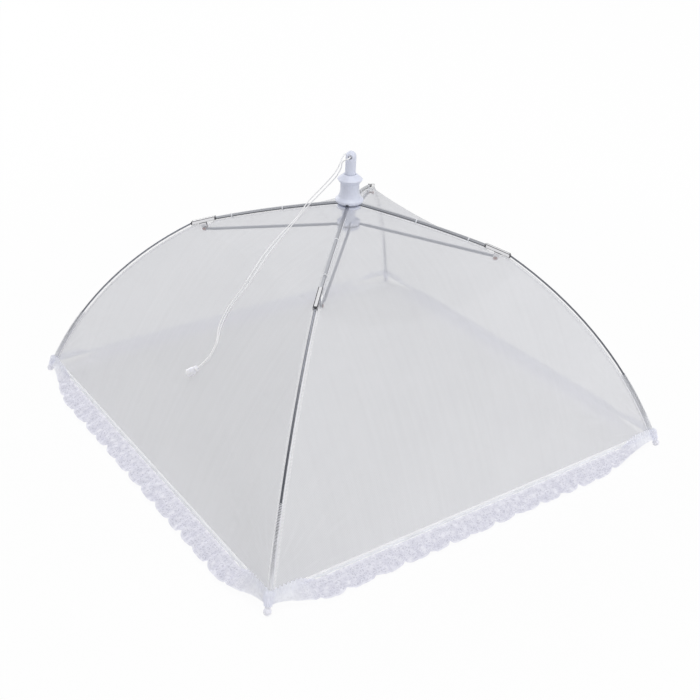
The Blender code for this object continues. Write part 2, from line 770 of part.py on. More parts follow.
def net_panels():
    obj = sheet("net", 10, 14, net_place, NET_THICKNESS, net_white)
    cutters = []
    half = CLIP_HALF + GAP
    for degrees in (-45, -135):
        notch = box_cutter(
            (RIVET.x - EAR_RADIUS - NOTCH_CLEARANCE, -half, RIVET.y - EAR_RADIUS),
            (RIVET.x + EAR_RADIUS + NOTCH_CLEARANCE, half, CLIP_HEIGHT + OVERRUN),
        )
        notch.rotation_euler.z = math.radians(degrees)
        cutters.append(notch)
    cut(obj, cutters)
    repeat(obj, "net", SIDES)


def hem_bindings():
    edge, down = hem_frame()

    def place(across, share):
        middle = edge + down * (GAP + BINDING_WIDTH * share)
        half = -middle.y - BINDING_CORNER * math.sqrt(2)
        return Vector((across * half, middle.y, middle.z))

    obj = sheet("hem_binding", 8, 1, place, BINDING_THICKNESS, binding_white)
    apply_modifiers(obj)
    repeat(obj, "hem_binding", SIDES)


def lace_trims():
    edge, down = hem_frame()
    start = edge + down * (2 * GAP + BINDING_WIDTH + BINDING_THICKNESS / 2)

    def place(across, share):
        wave = math.sin(math.pi * SCALLOPS * (across + 1) / 2)
        reach = share * (1 - share * LACE_SCALLOP / LACE_RUN * (1 - abs(wave)))
        ruffle = LACE_RUFFLE * share * math.sin(math.pi * RUFFLES * (across + 1))
        flat = -start.y + LACE_RUN * reach
        half = flat - LACE_CORNER * math.sqrt(2)
        return Vector((across * half, -flat, start.z - LACE_DROP * reach + ruffle))

    obj = sheet("lace", SCALLOPS * 4, 1, place, LACE_THICKNESS, lace_white)
    apply_modifiers(obj)
    repeat(obj, "lace_trim", SIDES)


# Pull cord and stopper
def smooth_route(points, steps):
    """Points on one smooth curve through all the given ones."""
    ends = [points[0], *points, points[-1]]
    found = []
    for before, start, end, after in zip(ends, ends[1:], ends[2:], ends[3:]):
        for step in range(steps):
            t = step / steps
            bend = 2 * before - 5 * start + 4 * end - after
            twist = 3 * start - before - 3 * end + after
            found.append(start + (t * (end - before) + t**2 * bend + t**3 * twist) / 2)
    return found + [points[-1]]


def pull_cord():
    """One cord: from the stopper up to the post's eye, through it and back down to the stopper."""
    on_net = smooth_route([Vector(point) for point in CORD_ON_NET], 2)
    strands = []
    for sign, air in ((1, UPPER_STRAND), (-1, LOWER_STRAND)):
        lying = []
        for place, point in enumerate(on_net):
            ahead = on_net[min(place + 1, len(on_net) - 1)] - on_net[max(place - 1, 0)]
            side = ahead.cross(Vector((0, 0, 1))).normalized()
            lying.append(point + sign * CORD_SPREAD * side)
        strands.append((smooth_route([Vector(point) for point in air] + lying[:1], 2)[:-1], lying))
    (upper_air, upper_net), (lower_air, lower_net) = strands
    points = upper_net[::-1] + upper_air[::-1] + lower_air + lower_net
    wire("pull_cord", points, CORD_RADIUS, cord_white, 2)
    print(f"pull cord {sum((b - a).length for a, b in zip(points, points[1:])):.4f} m")


def cord_stopper():
    """A small bell, hollow at its wide end, with the cord's knot inside it."""
    inside = STOPPER_RADIUS - STOPPER_WALL
    outline = [
        (0, 0),
        (STOPPER_NECK_RADIUS - EDGE_ROUND, 0),
        (STOPPER_NECK_RADIUS, EDGE_ROUND),
        (STOPPER_NECK_RADIUS, STOPPER_NECK),
        (STOPPER_RADIUS - EDGE_ROUND / 2, STOPPER_NECK * 2),
        (STOPPER_RADIUS, STOPPER_LENGTH - EDGE_ROUND),
        (STOPPER_RADIUS - EDGE_ROUND / 2, STOPPER_LENGTH),
        (inside, STOPPER_LENGTH),
        (inside - EDGE_ROUND, STOPPER_NECK * 2 + STOPPER_WALL),
        (0, STOPPER_NECK + STOPPER_WALL),
    ]
    obj = turned("cord_stopper", outline, clear_plastic, 16, closed=False)
    lean = Vector((0, 0, 1)).rotation_difference(STOPPER_ALONG)
    start = Vector(CORD_ON_NET[-1]) + 3 * GAP * STOPPER_ALONG.normalized()
    obj.data.transform(Matrix.Translation(start) @ lean.to_matrix().to_4x4())


# Fold figures, for the joints
def folded():
    """The rib's turn and the runner's travel from open to folded, with the tips just clear of each other."""
    arm = TIP - CROWN_PIVOT
    start = math.atan2(-arm.y, arm.x)
    closed_reach = CAP_RADIUS * math.sqrt(2) + FOLDED_CLEARANCE
    turn = math.acos((closed_reach - CROWN_PIVOT.x) / arm.length) - start
    to_rivet = RIVET - CROWN_PIVOT
    slope = math.atan2(-to_rivet.y, to_rivet.x) + turn
    rivet = CROWN_PIVOT + to_rivet.length * Vector((math.cos(slope), -math.sin(slope)))
    out = rivet.x - RUNNER_PIVOT.x
    pivot_height = rivet.y - math.sqrt(STRETCHER_LENGTH**2 - out**2)
    travel = RUNNER_PIVOT.y - pivot_height
    rise = math.atan2(rivet.y - pivot_height, out)
    swing = rise - math.atan2(STRETCHER_ALONG.y, STRETCHER_ALONG.x)
    return turn, travel, swing


crown()
tie_wire("crown_tie_wire", RIB_PIVOT_HEIGHT)
runner()
tie_wire("runner_tie_wire", RUNNER_PIVOT.y)
pull_post()
upper_rib()
rib_clip()
rivets()
lower_rib()
tip_cap()
stretcher()
net_panels()
hem_bindings()
lace_trims()
pull_cord()
cord_stopper()

turn, travel, swing = folded()
print(f"rib fold {math.degrees(turn):.3f} deg, ratio {turn / travel:.5f} rad per m")
print(f"runner travel {travel:.5f} m")
print(f"stretcher swing {math.degrees(swing):.3f} deg, ratio {swing / travel:.5f} rad per m")
print(f"crown pivot {CROWN_PIVOT}, runner pivot {RUNNER_PIVOT}, across {STRETCHER_MIDDLE:.5f}")
print(f"rivet {RIVET}, tip {TIP}, crown top {CROWN_TOP:.4f}, hem share {NET_END:.4f}")
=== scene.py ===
# %% [markdown]
# # A pop-up food cover
#
# This lesson dresses the CAD model of a square food cover: net panels with a lace hem, on four ribs that
# fold like a small umbrella's. The CAD gives every rigid piece its place, its size and its joint. What is
# made here is what makes it look real: the net, the lace, the thread, the cord and every finish.

import math

import bmesh
import bpy
from mathutils import Matrix, Vector


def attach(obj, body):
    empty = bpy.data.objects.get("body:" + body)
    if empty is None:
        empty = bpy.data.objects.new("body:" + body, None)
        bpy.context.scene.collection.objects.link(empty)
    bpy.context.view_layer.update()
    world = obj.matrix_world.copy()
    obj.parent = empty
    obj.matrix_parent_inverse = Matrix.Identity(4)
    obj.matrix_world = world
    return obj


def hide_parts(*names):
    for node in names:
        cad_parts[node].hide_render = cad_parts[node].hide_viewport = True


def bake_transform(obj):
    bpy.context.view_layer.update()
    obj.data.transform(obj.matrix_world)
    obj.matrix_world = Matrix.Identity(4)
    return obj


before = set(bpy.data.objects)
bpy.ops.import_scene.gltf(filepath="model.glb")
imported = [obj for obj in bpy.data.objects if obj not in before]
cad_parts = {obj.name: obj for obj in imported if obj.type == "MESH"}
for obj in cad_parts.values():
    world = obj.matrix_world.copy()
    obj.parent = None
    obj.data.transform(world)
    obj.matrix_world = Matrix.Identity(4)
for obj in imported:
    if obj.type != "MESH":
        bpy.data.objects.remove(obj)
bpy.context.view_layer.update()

# %% [markdown]
# ## The camera
#
# The photograph looks down on one corner of the cover from about 29 degrees. A camera can be placed by eye,
# but here its direction, its distance and its small roll were fitted to the corners, the clips and the crown,
# so the numbers are named and the matrix is built from them.

# %% Place the camera
CAMERA_AZIMUTH = math.radians(-36.13)
CAMERA_ELEVATION = math.radians(28.60)
CAMERA_ROLL = math.radians(2.41)
CAMERA_DISTANCE = 0.9
CAMERA_TARGET = Vector((-0.0204, -0.0377, 0.0813))
CAMERA_LENS_MM = 55.07

across_view = math.cos(CAMERA_ELEVATION)
to_camera = Vector((
    math.sin(CAMERA_AZIMUTH) * across_view,
    -math.cos(CAMERA_AZIMUTH) * across_view,
    math.sin(CAMERA_ELEVATION),
))
level_right = Vector((0, 0, 1)).cross(to_camera).normalized()
level_up = to_camera.cross(level_right)
roll = Matrix.Rotation(CAMERA_ROLL, 3, "Z")
turned = Matrix((level_right, level_up, to_camera)).transposed() @ roll
lens = bpy.data.cameras.new("photo_camera")
lens.lens = CAMERA_LENS_MM
camera = bpy.data.objects.new("photo_camera", lens)
camera.matrix_world = Matrix.Translation(CAMERA_TARGET + to_camera * CAMERA_DISTANCE) @ turned.to_4x4()
bpy.context.scene.collection.objects.link(camera)
bpy.context.scene.camera = camera
print("camera at", [round(value, 3) for value in camera.matrix_world.translation])

# %% [markdown]
# ## Small helpers
#
# A material here is a graph of nodes. Making each node by hand takes four lines, so one short function makes
# a node, sets its options and joins its inputs. A few more give the commonest sums and patterns a name, and
# one turns a bmesh into a named object on a body.


# %% Helpers for nodes
def new_material(name):
    """An empty node material and its tree."""
    made = bpy.data.materials.new(name)
    made.use_nodes = True
    made.node_tree.nodes.clear()
    return made, made.node_tree


def node(tree, kind, options=None, **inputs):
    """Adds a node. An input is a value or another node's output, and its name has _ for a space."""
    made = tree.nodes.new("ShaderNode" + kind)
    for name, value in (options or {}).items():
        setattr(made, name, value)
    for name, value in inputs.items():
        socket = made.inputs[int(name[1:])] if name[1:].isdigit() else made.inputs[name.replace("_", " ")]
        if isinstance(value, bpy.types.NodeSocket):
            tree.links.new(value, socket)
        else:
            socket.default_value = value
    return made


def maths(tree, operation, first, second=0.0):
    return node(tree, "Math", {"operation": operation}, i0=first, i1=second).outputs[0]


def total(tree, first, second):
    return maths(tree, "ADD", first, second)


def product(tree, first, second):
    return maths(tree, "MULTIPLY", first, second)


def larger(tree, first, second):
    return maths(tree, "MAXIMUM", first, second)


def rest_of(tree, share):
    """What a share leaves of 1."""
    return maths(tree, "SUBTRACT", 1.0, share)


def diagonal(tree, first, second):
    """The distance that two lengths at a right angle make."""
    squares = total(tree, maths(tree, "POWER", first, 2.0), maths(tree, "POWER", second, 2.0))
    return maths(tree, "SQRT", squares)


def between(tree, value, low, high, out_low=0.0, out_high=1.0):
    """Maps low..high to out_low..out_high, and stops at the ends."""
    return node(
        tree, "MapRange", None,
        Value=value, From_Min=low, From_Max=high, To_Min=out_low, To_Max=out_high,
    ).outputs[0]


def blend_colours(tree, share, first, second):
    mix = node(tree, "Mix", {"data_type": "RGBA"}, i0=share)
    for socket, colour in ((mix.inputs[6], first), (mix.inputs[7], second)):
        if isinstance(colour, bpy.types.NodeSocket):
            tree.links.new(colour, socket)
        else:
            socket.default_value = (*colour, 1.0)
    return mix.outputs[2]


def blend_shaders(tree, share, first, second):
    return node(tree, "MixShader", None, i0=share, i1=first, i2=second).outputs[0]


def noise(tree, vector, scale, detail=2.0):
    return node(tree, "TexNoise", None, Vector=vector, Scale=scale, Detail=detail).outputs[0]


def stretched(tree, vector, scale):
    """A vector scaled unevenly, so that a pattern runs along one way."""
    return node(tree, "Mapping", None, Vector=vector, Scale=scale).outputs[0]


def bumped(tree, height, depth, strength):
    return node(tree, "Bump", None, Height=height, Distance=depth, Strength=strength).outputs[0]


def object_place(tree):
    return node(tree, "TexCoord").outputs["Object"]


def finish_with(tree, shader):
    node(tree, "OutputMaterial", None, Surface=shader)


print("node helpers ready")

# %% A helper for pieces
HARD_SMOOTH = 35
CLOTH_SMOOTH = 80


def place_piece(name, shape, material, body=None, smooth=HARD_SMOOTH):
    """Turns a bmesh into a piece that is smooth up to an angle in degrees, and lets it ride on a body."""
    mesh = bpy.data.meshes.new(name)
    shape.to_mesh(mesh)
    shape.free()
    mesh.shade_smooth()
    mesh.set_sharp_from_angle(angle=math.radians(smooth))
    mesh.materials.append(material)
    piece = bpy.data.objects.new(name, mesh)
    bpy.context.scene.collection.objects.link(piece)
    if body:
        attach(piece, body)
    return piece


print("cloth stays smooth up to", CLOTH_SMOOTH, "degrees")

# %% [markdown]
# ## The pull cord
#
# One thin twisted cord runs from a small stopper up to the post's eye, through it and back down. It is limp,
# so it lies on the net and only its last stretch hangs free to the eye. Each strand is one piece, because
# both leave the eye. A curve with a round bevel is the usual way to make cord. The finish is two twisted
# plies, drawn by a slanting wave and some fuzz.

# %% The cord's route, from the eye to the stopper
CORD_RADIUS = 0.0005
CORD_SPREAD = 0.00057
CORD_LOOSE = 0.0011
CORD_LOOSE_SHARE = 0.75
ROUTE_STEPS = 4
EYE_CENTRE = Vector((0.0, 0.0, 0.2365))
UPPER_STRAND = [
    (0.0029, 0.0029, 0.2365),
    (0.0049, 0.0052, 0.2364),
    (0.0041, 0.0080, 0.2361),
    (0.0008, 0.0090, 0.2354),
    (-0.0032, 0.0075, 0.2333),
    (-0.0064, 0.0061, 0.2291),
    (-0.0100, 0.0079, 0.2210),
    (-0.0176, 0.0139, 0.2088),
    (-0.0273, 0.0196, 0.1961),
]
LOWER_STRAND = [
    (-0.0029, -0.0029, 0.2365),
    (-0.0051, -0.0049, 0.2364),
    (-0.0077, -0.0046, 0.2357),
    (-0.0088, -0.0018, 0.2338),
    (-0.0076, 0.0016, 0.2305),
    (-0.0066, 0.0042, 0.2255),
    (-0.0096, 0.0076, 0.2170),
    (-0.0172, 0.0130, 0.2060),
    (-0.0278, 0.0179, 0.1936),
]
CORD_ON_NET = [
    (-0.0373, 0.0188, 0.1852),
    (-0.0478, 0.0145, 0.1806),
    (-0.0617, 0.0087, 0.1750),
    (-0.0801, 0.0004, 0.1667),
    (-0.0942, -0.0062, 0.1577),
    (-0.1061, -0.0086, 0.1465),
    (-0.1188, -0.0085, 0.1333),
    (-0.1290, -0.0125, 0.1224),
    (-0.1372, -0.0206, 0.1128),
    (-0.1447, -0.0217, 0.1028),
    (-0.1528, -0.0181, 0.0941),
]


def smooth_route(points, steps):
    """Points on one smooth curve through all the given ones."""
    ends = [points[0], *points, points[-1]]
    found = []
    for before, start, end, after in zip(ends, ends[1:], ends[2:], ends[3:]):
        for step in range(steps):
            t = step / steps
            bend = 2 * before - 5 * start + 4 * end - after
            twist = 3 * start - before - 3 * end + after
            found.append(start + (t * (end - before) + t**2 * bend + t**3 * twist) / 2)
    return found + [points[-1]]


def strand_route(in_air, side):
    """One strand's points: out of the eye, through the air and along its side of the doubled cord."""
    middle = smooth_route([Vector(point) for point in CORD_ON_NET], ROUTE_STEPS)
    lying = []
    for place, point in enumerate(middle):
        ahead = middle[min(place + 1, len(middle) - 1)] - middle[max(place - 1, 0)]
        loose = math.sin(math.pi * min(place / (CORD_LOOSE_SHARE * len(middle)), 1))
        apart = CORD_SPREAD + CORD_LOOSE * loose
        lying.append(point + side * apart * ahead.cross(Vector((0, 0, 1))).normalized())
    free = smooth_route([Vector(point) for point in in_air] + lying[:1], ROUTE_STEPS)[:-1]
    return [EYE_CENTRE] + free + lying


def length_of(points):
    return sum((after - before).length for before, after in zip(points, points[1:]))


print(f"upper strand {length_of(strand_route(UPPER_STRAND, 1)):.3f} m")


# %% The cord's finish
def cord_finish():
    material, tree = new_material("twisted_cord")
    place = object_place(tree)
    plies = node(
        tree, "TexWave", {"bands_direction": "DIAGONAL"},
        Vector=place, Scale=260.0, Distortion=1.5, Detail=1.0,
    ).outputs["Color"]
    fuzz = noise(tree, place, 5200.0)
    colour = blend_colours(tree, plies, (0.92, 0.92, 0.94), (0.98, 0.98, 0.99))
    height = total(tree, plies, product(tree, fuzz, 0.4))
    shader = node(
        tree, "BsdfPrincipled", None,
        Base_Color=colour, Roughness=0.8, Sheen_Weight=0.3, Normal=bumped(tree, height, 0.00006, 0.5),
    )
    finish_with(tree, shader.outputs[0])
    return material


cord_white = cord_finish()
print(cord_white.name)


# %% Make the two strands
def tube(name, points, radius, rounding, material):
    """A round tube through points: a bevelled curve, turned into a mesh."""
    curve = bpy.data.curves.new(name, "CURVE")
    curve.dimensions = "3D"
    curve.bevel_depth = radius
    curve.bevel_resolution = rounding
    curve.use_fill_caps = True
    line = curve.splines.new("POLY")
    line.points.add(len(points) - 1)
    for place, point in zip(line.points, points):
        place.co = (*point, 1.0)
    drawn = bpy.data.objects.new(name + "_line", curve)
    bpy.context.scene.collection.objects.link(drawn)
    bpy.context.view_layer.update()
    graph = bpy.context.evaluated_depsgraph_get()
    mesh = bpy.data.meshes.new_from_object(drawn.evaluated_get(graph))
    bpy.data.objects.remove(drawn)
    mesh.name = name
    mesh.materials.clear()
    mesh.materials.append(material)
    mesh.shade_smooth()
    piece = bpy.data.objects.new(name, mesh)
    bpy.context.scene.collection.objects.link(piece)
    return piece


CORD_ROUNDING = 3
for strand, in_air, side in (("upper", UPPER_STRAND, 1), ("lower", LOWER_STRAND, -1)):
    points = strand_route(in_air, side)
    piece = tube(f"pull_cord_{strand}_strand", points, CORD_RADIUS, CORD_ROUNDING, cord_white)
    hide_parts("pull_cord")
    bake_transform(piece)
    print(strand, f"strand {length_of(points):.3f} m")

# %% [markdown]
# ## Where the net hangs
#
# The net is sewn to the undersides of the ribs, so its corner lines follow them: an arc to the clip, a
# straight stretch through it, and a bolder arc to the tip. These are the CAD's own sizes, written once more
# because this file reads nothing but the shapes in model.glb. Between the ribs the net is pulled inwards a
# little, as stretched cloth is.

# %% The ribs' line and the net's surface
GAP = 0.0003
CAP_RADIUS = 0.003
CROWN_PIVOT = Vector((0.008, 0.196))
CLIP_START = Vector((0.114, 0.171))
CLIP_SLOPE = math.radians(18.8)
CLIP_LENGTH = 0.0232
CLIP_ALONG = Vector((math.cos(CLIP_SLOPE), -math.sin(CLIP_SLOPE)))
CLIP_END = CLIP_START + CLIP_LENGTH * CLIP_ALONG
TIPS_APART = 0.400
TIP = Vector((TIPS_APART / math.sqrt(2) - CAP_RADIUS, 0.0026))
UPPER_BOW = 0.0015
LOWER_BOW = 0.016
RIB_HEIGHT = 0.0022
NET_THICKNESS = 0.0005
NET_UNDER_RIB = RIB_HEIGHT / 2 + GAP + NET_THICKNESS
NET_SAG = 0.008
NET_SAG_SKEW = 0.7
NET_SQUARE_REACH = 0.045
HUB_RADIUS = 0.0098
HEM_HEIGHT = 0.013
HALVINGS = 40
CORNERS = {"front_left": 225, "front_right": 315, "back_right": 45, "back_left": 135}
SIDES = {"front": 0, "right": 90, "back": 180, "left": 270}

UPPER_CHORD = (CLIP_START - CROWN_PIVOT).length
LOWER_CHORD = (TIP - CLIP_END).length
RIB_LENGTH = UPPER_CHORD + CLIP_LENGTH + LOWER_CHORD


def upwards(along):
    """The normal of a direction in a rib's plane, on the side away from the food."""
    return Vector((-along.y, along.x))


def arc_of(start, end, bow):
    """The half angle, the radius and the centre of an arc that bows outwards from its chord."""
    chord = end - start
    half_angle = 2 * math.atan(2 * bow / chord.length)
    radius = chord.length / (2 * math.sin(half_angle))
    centre = (start + end) / 2 - upwards(chord.normalized()) * radius * math.cos(half_angle)
    return half_angle, radius, centre


def bowed(start, end, bow, share):
    """The point and direction at a share of the way along a bowed arc."""
    half_angle, radius, centre = arc_of(start, end, bow)
    along = (end - start).normalized()
    out = upwards(along)
    turn = half_angle * (2 * share - 1)
    point = centre + radius * (out * math.cos(turn) + along * math.sin(turn))
    return point, along * math.cos(turn) - out * math.sin(turn)


def rib_at(share):
    """The rib's centreline, as (reach, height), and its direction, from the crown's pivot to the tip."""
    way = share * RIB_LENGTH
    if way < UPPER_CHORD:
        return bowed(CROWN_PIVOT, CLIP_START, UPPER_BOW, way / UPPER_CHORD)
    way -= UPPER_CHORD
    if way < CLIP_LENGTH:
        return CLIP_START + way * CLIP_ALONG, CLIP_ALONG
    return bowed(CLIP_END, TIP, LOWER_BOW, (way - CLIP_LENGTH) / LOWER_CHORD)


def under_rib(share, drop=NET_UNDER_RIB):
    point, along = rib_at(share)
    return point - drop * upwards(along)


def share_at_height(height):
    """The share of the rib at which the net's corner line has come down to a height."""
    low, high = 0.5, 1.0
    for _ in range(HALVINGS):
        middle = (low + high) / 2
        low, high = (middle, high) if under_rib(middle).y > height else (low, middle)
    return low


NET_START = (HUB_RADIUS + GAP - CROWN_PIVOT.x) / RIB_LENGTH
NET_END = share_at_height(HEM_HEIGHT)
print(f"the net ends at {NET_END:.3f} of the rib")

# %% A point of the front panel
DOWN_STEPS = 20


def mitre(thickness):
    """How far a sheet stops short of the rib's plane, so that it clears its neighbour."""
    return (thickness + GAP) / math.sqrt(2)


def eased(value):
    """Keeps a value in 0 to 1, with a smooth start and end."""
    value = min(max(value, 0), 1)
    return value * value * (3 - 2 * value)


def net_place(across, down):
    """The front panel's surface, for shares from -1 to 1 across and 0 to 1 down."""
    corner = under_rib(NET_START + (NET_END - NET_START) * down)
    reach = max(corner.x, HUB_RADIUS + 2 * GAP)
    flat = reach / math.sqrt(2)
    sag = NET_SAG * math.sin(math.pi * down**NET_SAG_SKEW) * (1 - across**2)
    half = flat - mitre(NET_THICKNESS)
    square = Vector((across * half, sag - flat, corner.y))
    turn = across * (math.pi / 4 - mitre(NET_THICKNESS) / reach)
    ring = Vector((reach * math.sin(turn), -reach * math.cos(turn), corner.y))
    return ring.lerp(square, eased((reach - HUB_RADIUS) / (NET_SQUARE_REACH - HUB_RADIUS)))


def corner_of(degrees, hand):
    """The corner at one end of a side. Seen from outside, hand is -1 for the left end and 1 for the right."""
    angle = (degrees + CORNERS["front_left" if hand < 0 else "front_right"]) % 360
    return next(name for name, place in CORNERS.items() if place == angle)


NET_DOWN = length_of([net_place(0, step / DOWN_STEPS) for step in range(DOWN_STEPS + 1)])
HEM_HALF = -net_place(0, 1).y
print(f"the hem is {2 * HEM_HALF:.3f} m long and the net {NET_DOWN:.3f} m down")

# %% [markdown]
# ## The net
#
# Mosquito net is knitted: fine threads zigzag and meet, which leaves diamond holes about a millimetre wide.
# From a step away it is a pale veil, and two layers of it over white read as light grey. A real mesh of
# threads would take millions of faces. Here the holes are a pattern on the panel's own UV map, which is in
# metres, so the threads keep their true size. Light also comes through the threads, so half of their
# shader is translucent.


# %% A shader for every cloth
def cloth_uv(tree):
    """A place on the flat cloth in metres, as a vector, and how far along and down it is."""
    uv = node(tree, "UVMap", {"uv_map": "cloth"}).outputs[0]
    parts = node(tree, "SeparateXYZ", None, Vector=uv).outputs
    return uv, parts[0], parts[1]


def cloth_shader(tree, colour, glow, cover=None, bump=None, roughness=0.9, sheen=0.0):
    """Cloth that a lamp lights from either side. Glow is the share that comes through, and cover, where the
    cloth has holes, is 1 on its threads and 0 in a hole."""
    normal = {} if bump is None else {"Normal": bump}
    front = node(
        tree, "BsdfPrincipled", None,
        Base_Color=colour, Roughness=roughness, Sheen_Weight=sheen, **normal,
    ).outputs[0]
    through = node(tree, "BsdfTranslucent", None, Color=colour, **normal).outputs[0]
    lit = blend_shaders(tree, glow, front, through)
    if cover is None:
        return lit
    return blend_shaders(tree, cover, node(tree, "BsdfTransparent").outputs[0], lit)


def lay_flat(shape, places):
    """Gives each point of a bmesh its place on the flat cloth."""
    cloth = shape.loops.layers.uv.new("cloth")
    for face in shape.faces:
        for loop in face.loops:
            loop[cloth].uv = places[loop.vert]


print("cloth helpers ready")

# %% The net's finish
NET_PITCH = 0.0012
NET_SHADE = (0.72, 0.725, 0.755)
NET_PALE = (0.75, 0.755, 0.785)
HOLE_COVER = 0.44
THREAD_COVER = 0.58
PLEAT_COVER = 0.06
PLEAT_ROOT = 0.004
PLEAT_START = 0.012
PLEAT_FULL = 0.03
PLEAT_FADES = 0.05
PLEAT_REACH = 0.11


def zigzag(tree, run, along, pitch, lean):
    """Thread lines along the run that lean from side to side, as 1 on a thread and 0 in a hole."""
    swing = maths(tree, "PINGPONG", product(tree, along, 2 / pitch), 1.0)
    moved = total(tree, product(tree, run, 1 / pitch), product(tree, swing, lean))
    return maths(tree, "PINGPONG", moved, 0.5)


def corner_pleats(tree, run, along):
    """Soft folds that fan out from a panel's lower corner, as 1 on a fold."""
    inwards = maths(tree, "SUBTRACT", HEM_HALF, maths(tree, "ABSOLUTE", run))
    up = maths(tree, "SUBTRACT", NET_DOWN, along)
    away = diagonal(tree, inwards, up)
    turn = maths(tree, "ARCTAN2", up, total(tree, inwards, PLEAT_ROOT))
    fan = node(tree, "CombineXYZ", None, X=turn, Y=product(tree, away, 3.0)).outputs[0]
    fold = between(tree, noise(tree, fan, 7.0, 1.0), 0.54, 0.74)
    near = between(tree, away, PLEAT_START, PLEAT_FULL)
    fading = between(tree, away, PLEAT_FADES, PLEAT_REACH, 1.0, 0.0)
    return product(tree, fold, product(tree, near, fading))


def net_finish():
    material, tree = new_material("mosquito_net")
    uv, run, along = cloth_uv(tree)
    one = zigzag(tree, run, along, NET_PITCH, 0.5)
    other = zigzag(tree, run, along, NET_PITCH, -0.5)
    thread = between(tree, maths(tree, "MINIMUM", one, other), 0.05, 0.30, 1.0, 0.0)
    streak = noise(tree, stretched(tree, uv, (230.0, 7.0, 1.0)), 1.0, 3.0)
    pleat = between(tree, corner_pleats(tree, run, along), 0.0, 1.0, 0.0, PLEAT_COVER)
    veil = total(tree, between(tree, streak, 0.3, 0.7, -0.012, 0.012), pleat)
    cover = total(tree, between(tree, thread, 0.0, 1.0, HOLE_COVER, THREAD_COVER), veil)
    tone = between(tree, noise(tree, uv, 22.0), 0.3, 0.7)
    colour = blend_colours(tree, tone, NET_SHADE, NET_PALE)
    finish_with(tree, cloth_shader(tree, colour, 0.5, cover))
    return material


net_veil = net_finish()
print(net_veil.name)

# %% Cut and hang the eight half panels
PANEL_COLUMNS = 26
PANEL_ROWS = 64
EAR_CLEARANCE = 0.0023
EAR_SPAN = 0.0065
RIVET_REACH = 0.1237
HALVES = [
    (side, degrees, hand, end)
    for side, degrees in SIDES.items()
    for hand, end in ((-1, "left"), (1, "right"))
]


def half_grid(columns, rows, place, degrees, hand):
    """A grid that a place function lays by its shares of 0 to 1 across and down, turned to its side."""
    shape = bmesh.new()
    bmesh.ops.create_grid(shape, x_segments=columns, y_segments=rows, size=0.5)
    shares = {vert: (vert.co.x + 0.5, 0.5 - vert.co.y) for vert in shape.verts}
    flat = {}
    for vert, (across, down) in shares.items():
        vert.co, flat[vert] = place(across, down, hand)
    lay_flat(shape, flat)
    turn = Matrix.Rotation(math.radians(degrees), 3, "Z")
    bmesh.ops.rotate(shape, verts=shape.verts, cent=(0, 0, 0), matrix=turn)
    if hand < 0:
        bmesh.ops.reverse_faces(shape, faces=shape.faces)
    return shape


def follow_rib(piece):
    """Bakes the piece's place into its mesh."""
    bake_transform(piece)


def net_half(across, down, hand):
    """A point of half a panel, which is cut back where the clip's ear comes through."""
    point = net_place(hand * across, down)
    rib_reach = under_rib(NET_START + (NET_END - NET_START) * down).x
    if abs(rib_reach - RIVET_REACH) < EAR_SPAN:
        edge = -point.y - EAR_CLEARANCE * math.sqrt(2)
        point.x = max(-edge, min(edge, point.x))
    return point, (point.x, down * NET_DOWN)


for side, degrees, hand, end in HALVES:
    shape = half_grid(PANEL_COLUMNS, PANEL_ROWS, net_half, degrees, hand)
    panel_area = sum(face.calc_area() for face in shape.faces)
    piece = place_piece(f"{side}_net_{end}_half", shape, net_veil)
    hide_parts(f"{side}_net")
    follow_rib(piece)
print(f"a half panel is {NET_DOWN:.3f} m down and {panel_area:.4f} square metres")

# %% [markdown]
# ## The lace and the binding
#
# The lace is a gathered strip. Its top edge is sewn on shorter than its lower edge, so it ruffles, and at a
# corner it turns in and ends at the cap. A grid with a place function can do all of that: the ruffle is a
# sum of two waves that grows towards the free edge. The binding is a folded tape, so its grid is wrapped
# round into a flat tube, and small waves show that the gathers pull on it. Its two closed edges catch the
# light as thin white lines, and its middle is a single thin layer.

# %% The lace's finish
LACE_RUN = 0.017
LACE_DROP = 0.0058
LACE_WIDTH = math.hypot(LACE_RUN, LACE_DROP)
LACE_WANDER = 0.004
LACE_SHADE = (0.60, 0.60, 0.74)
LACE_PALE = (0.93, 0.93, 1.0)
LACE_BUNCHED_PAINTED_LIGHT = (0.94, 0.95, 1.0)
BORDER_STARTS = 0.0022
BORDER_FULL = 0.0012
HEADING_FULL = 0.0016
HEADING_ENDS = 0.0028
BUNCH_START = 0.178
BUNCH_END = 0.200


def voronoi(tree, vector, feature, scale):
    return node(tree, "TexVoronoi", {"feature": feature}, Vector=vector, Scale=scale)


def lace_pattern(tree, uv, drop, bunched):
    """How closed the lace is, without and with the net ground between its flowers, border and heading."""
    wander = node(tree, "TexNoise", None, Vector=uv, Scale=260.0, Detail=2.0).outputs["Color"]
    bent = node(
        tree, "VectorMath", {"operation": "MULTIPLY_ADD"},
        i0=wander, i1=(LACE_WANDER, LACE_WANDER, 0.0), i2=uv,
    ).outputs[0]
    holes = voronoi(tree, bent, "DISTANCE_TO_EDGE", 430.0).outputs[0]
    ground = between(tree, holes, 0.04, 0.30, 1.0, 0.0)
    petals = voronoi(tree, bent, "F1", 150.0)
    petals.inputs["Randomness"].default_value = 0.9
    flower = between(tree, petals.outputs[0], 0.28, 0.50, 1.0, 0.0)
    border = between(tree, drop, LACE_WIDTH - BORDER_STARTS, LACE_WIDTH - BORDER_FULL)
    heading = between(tree, drop, HEADING_FULL, HEADING_ENDS, 1.0, 0.0)
    solid = larger(tree, larger(tree, border, heading), larger(tree, flower, bunched))
    return solid, larger(tree, product(tree, ground, 0.8), solid)


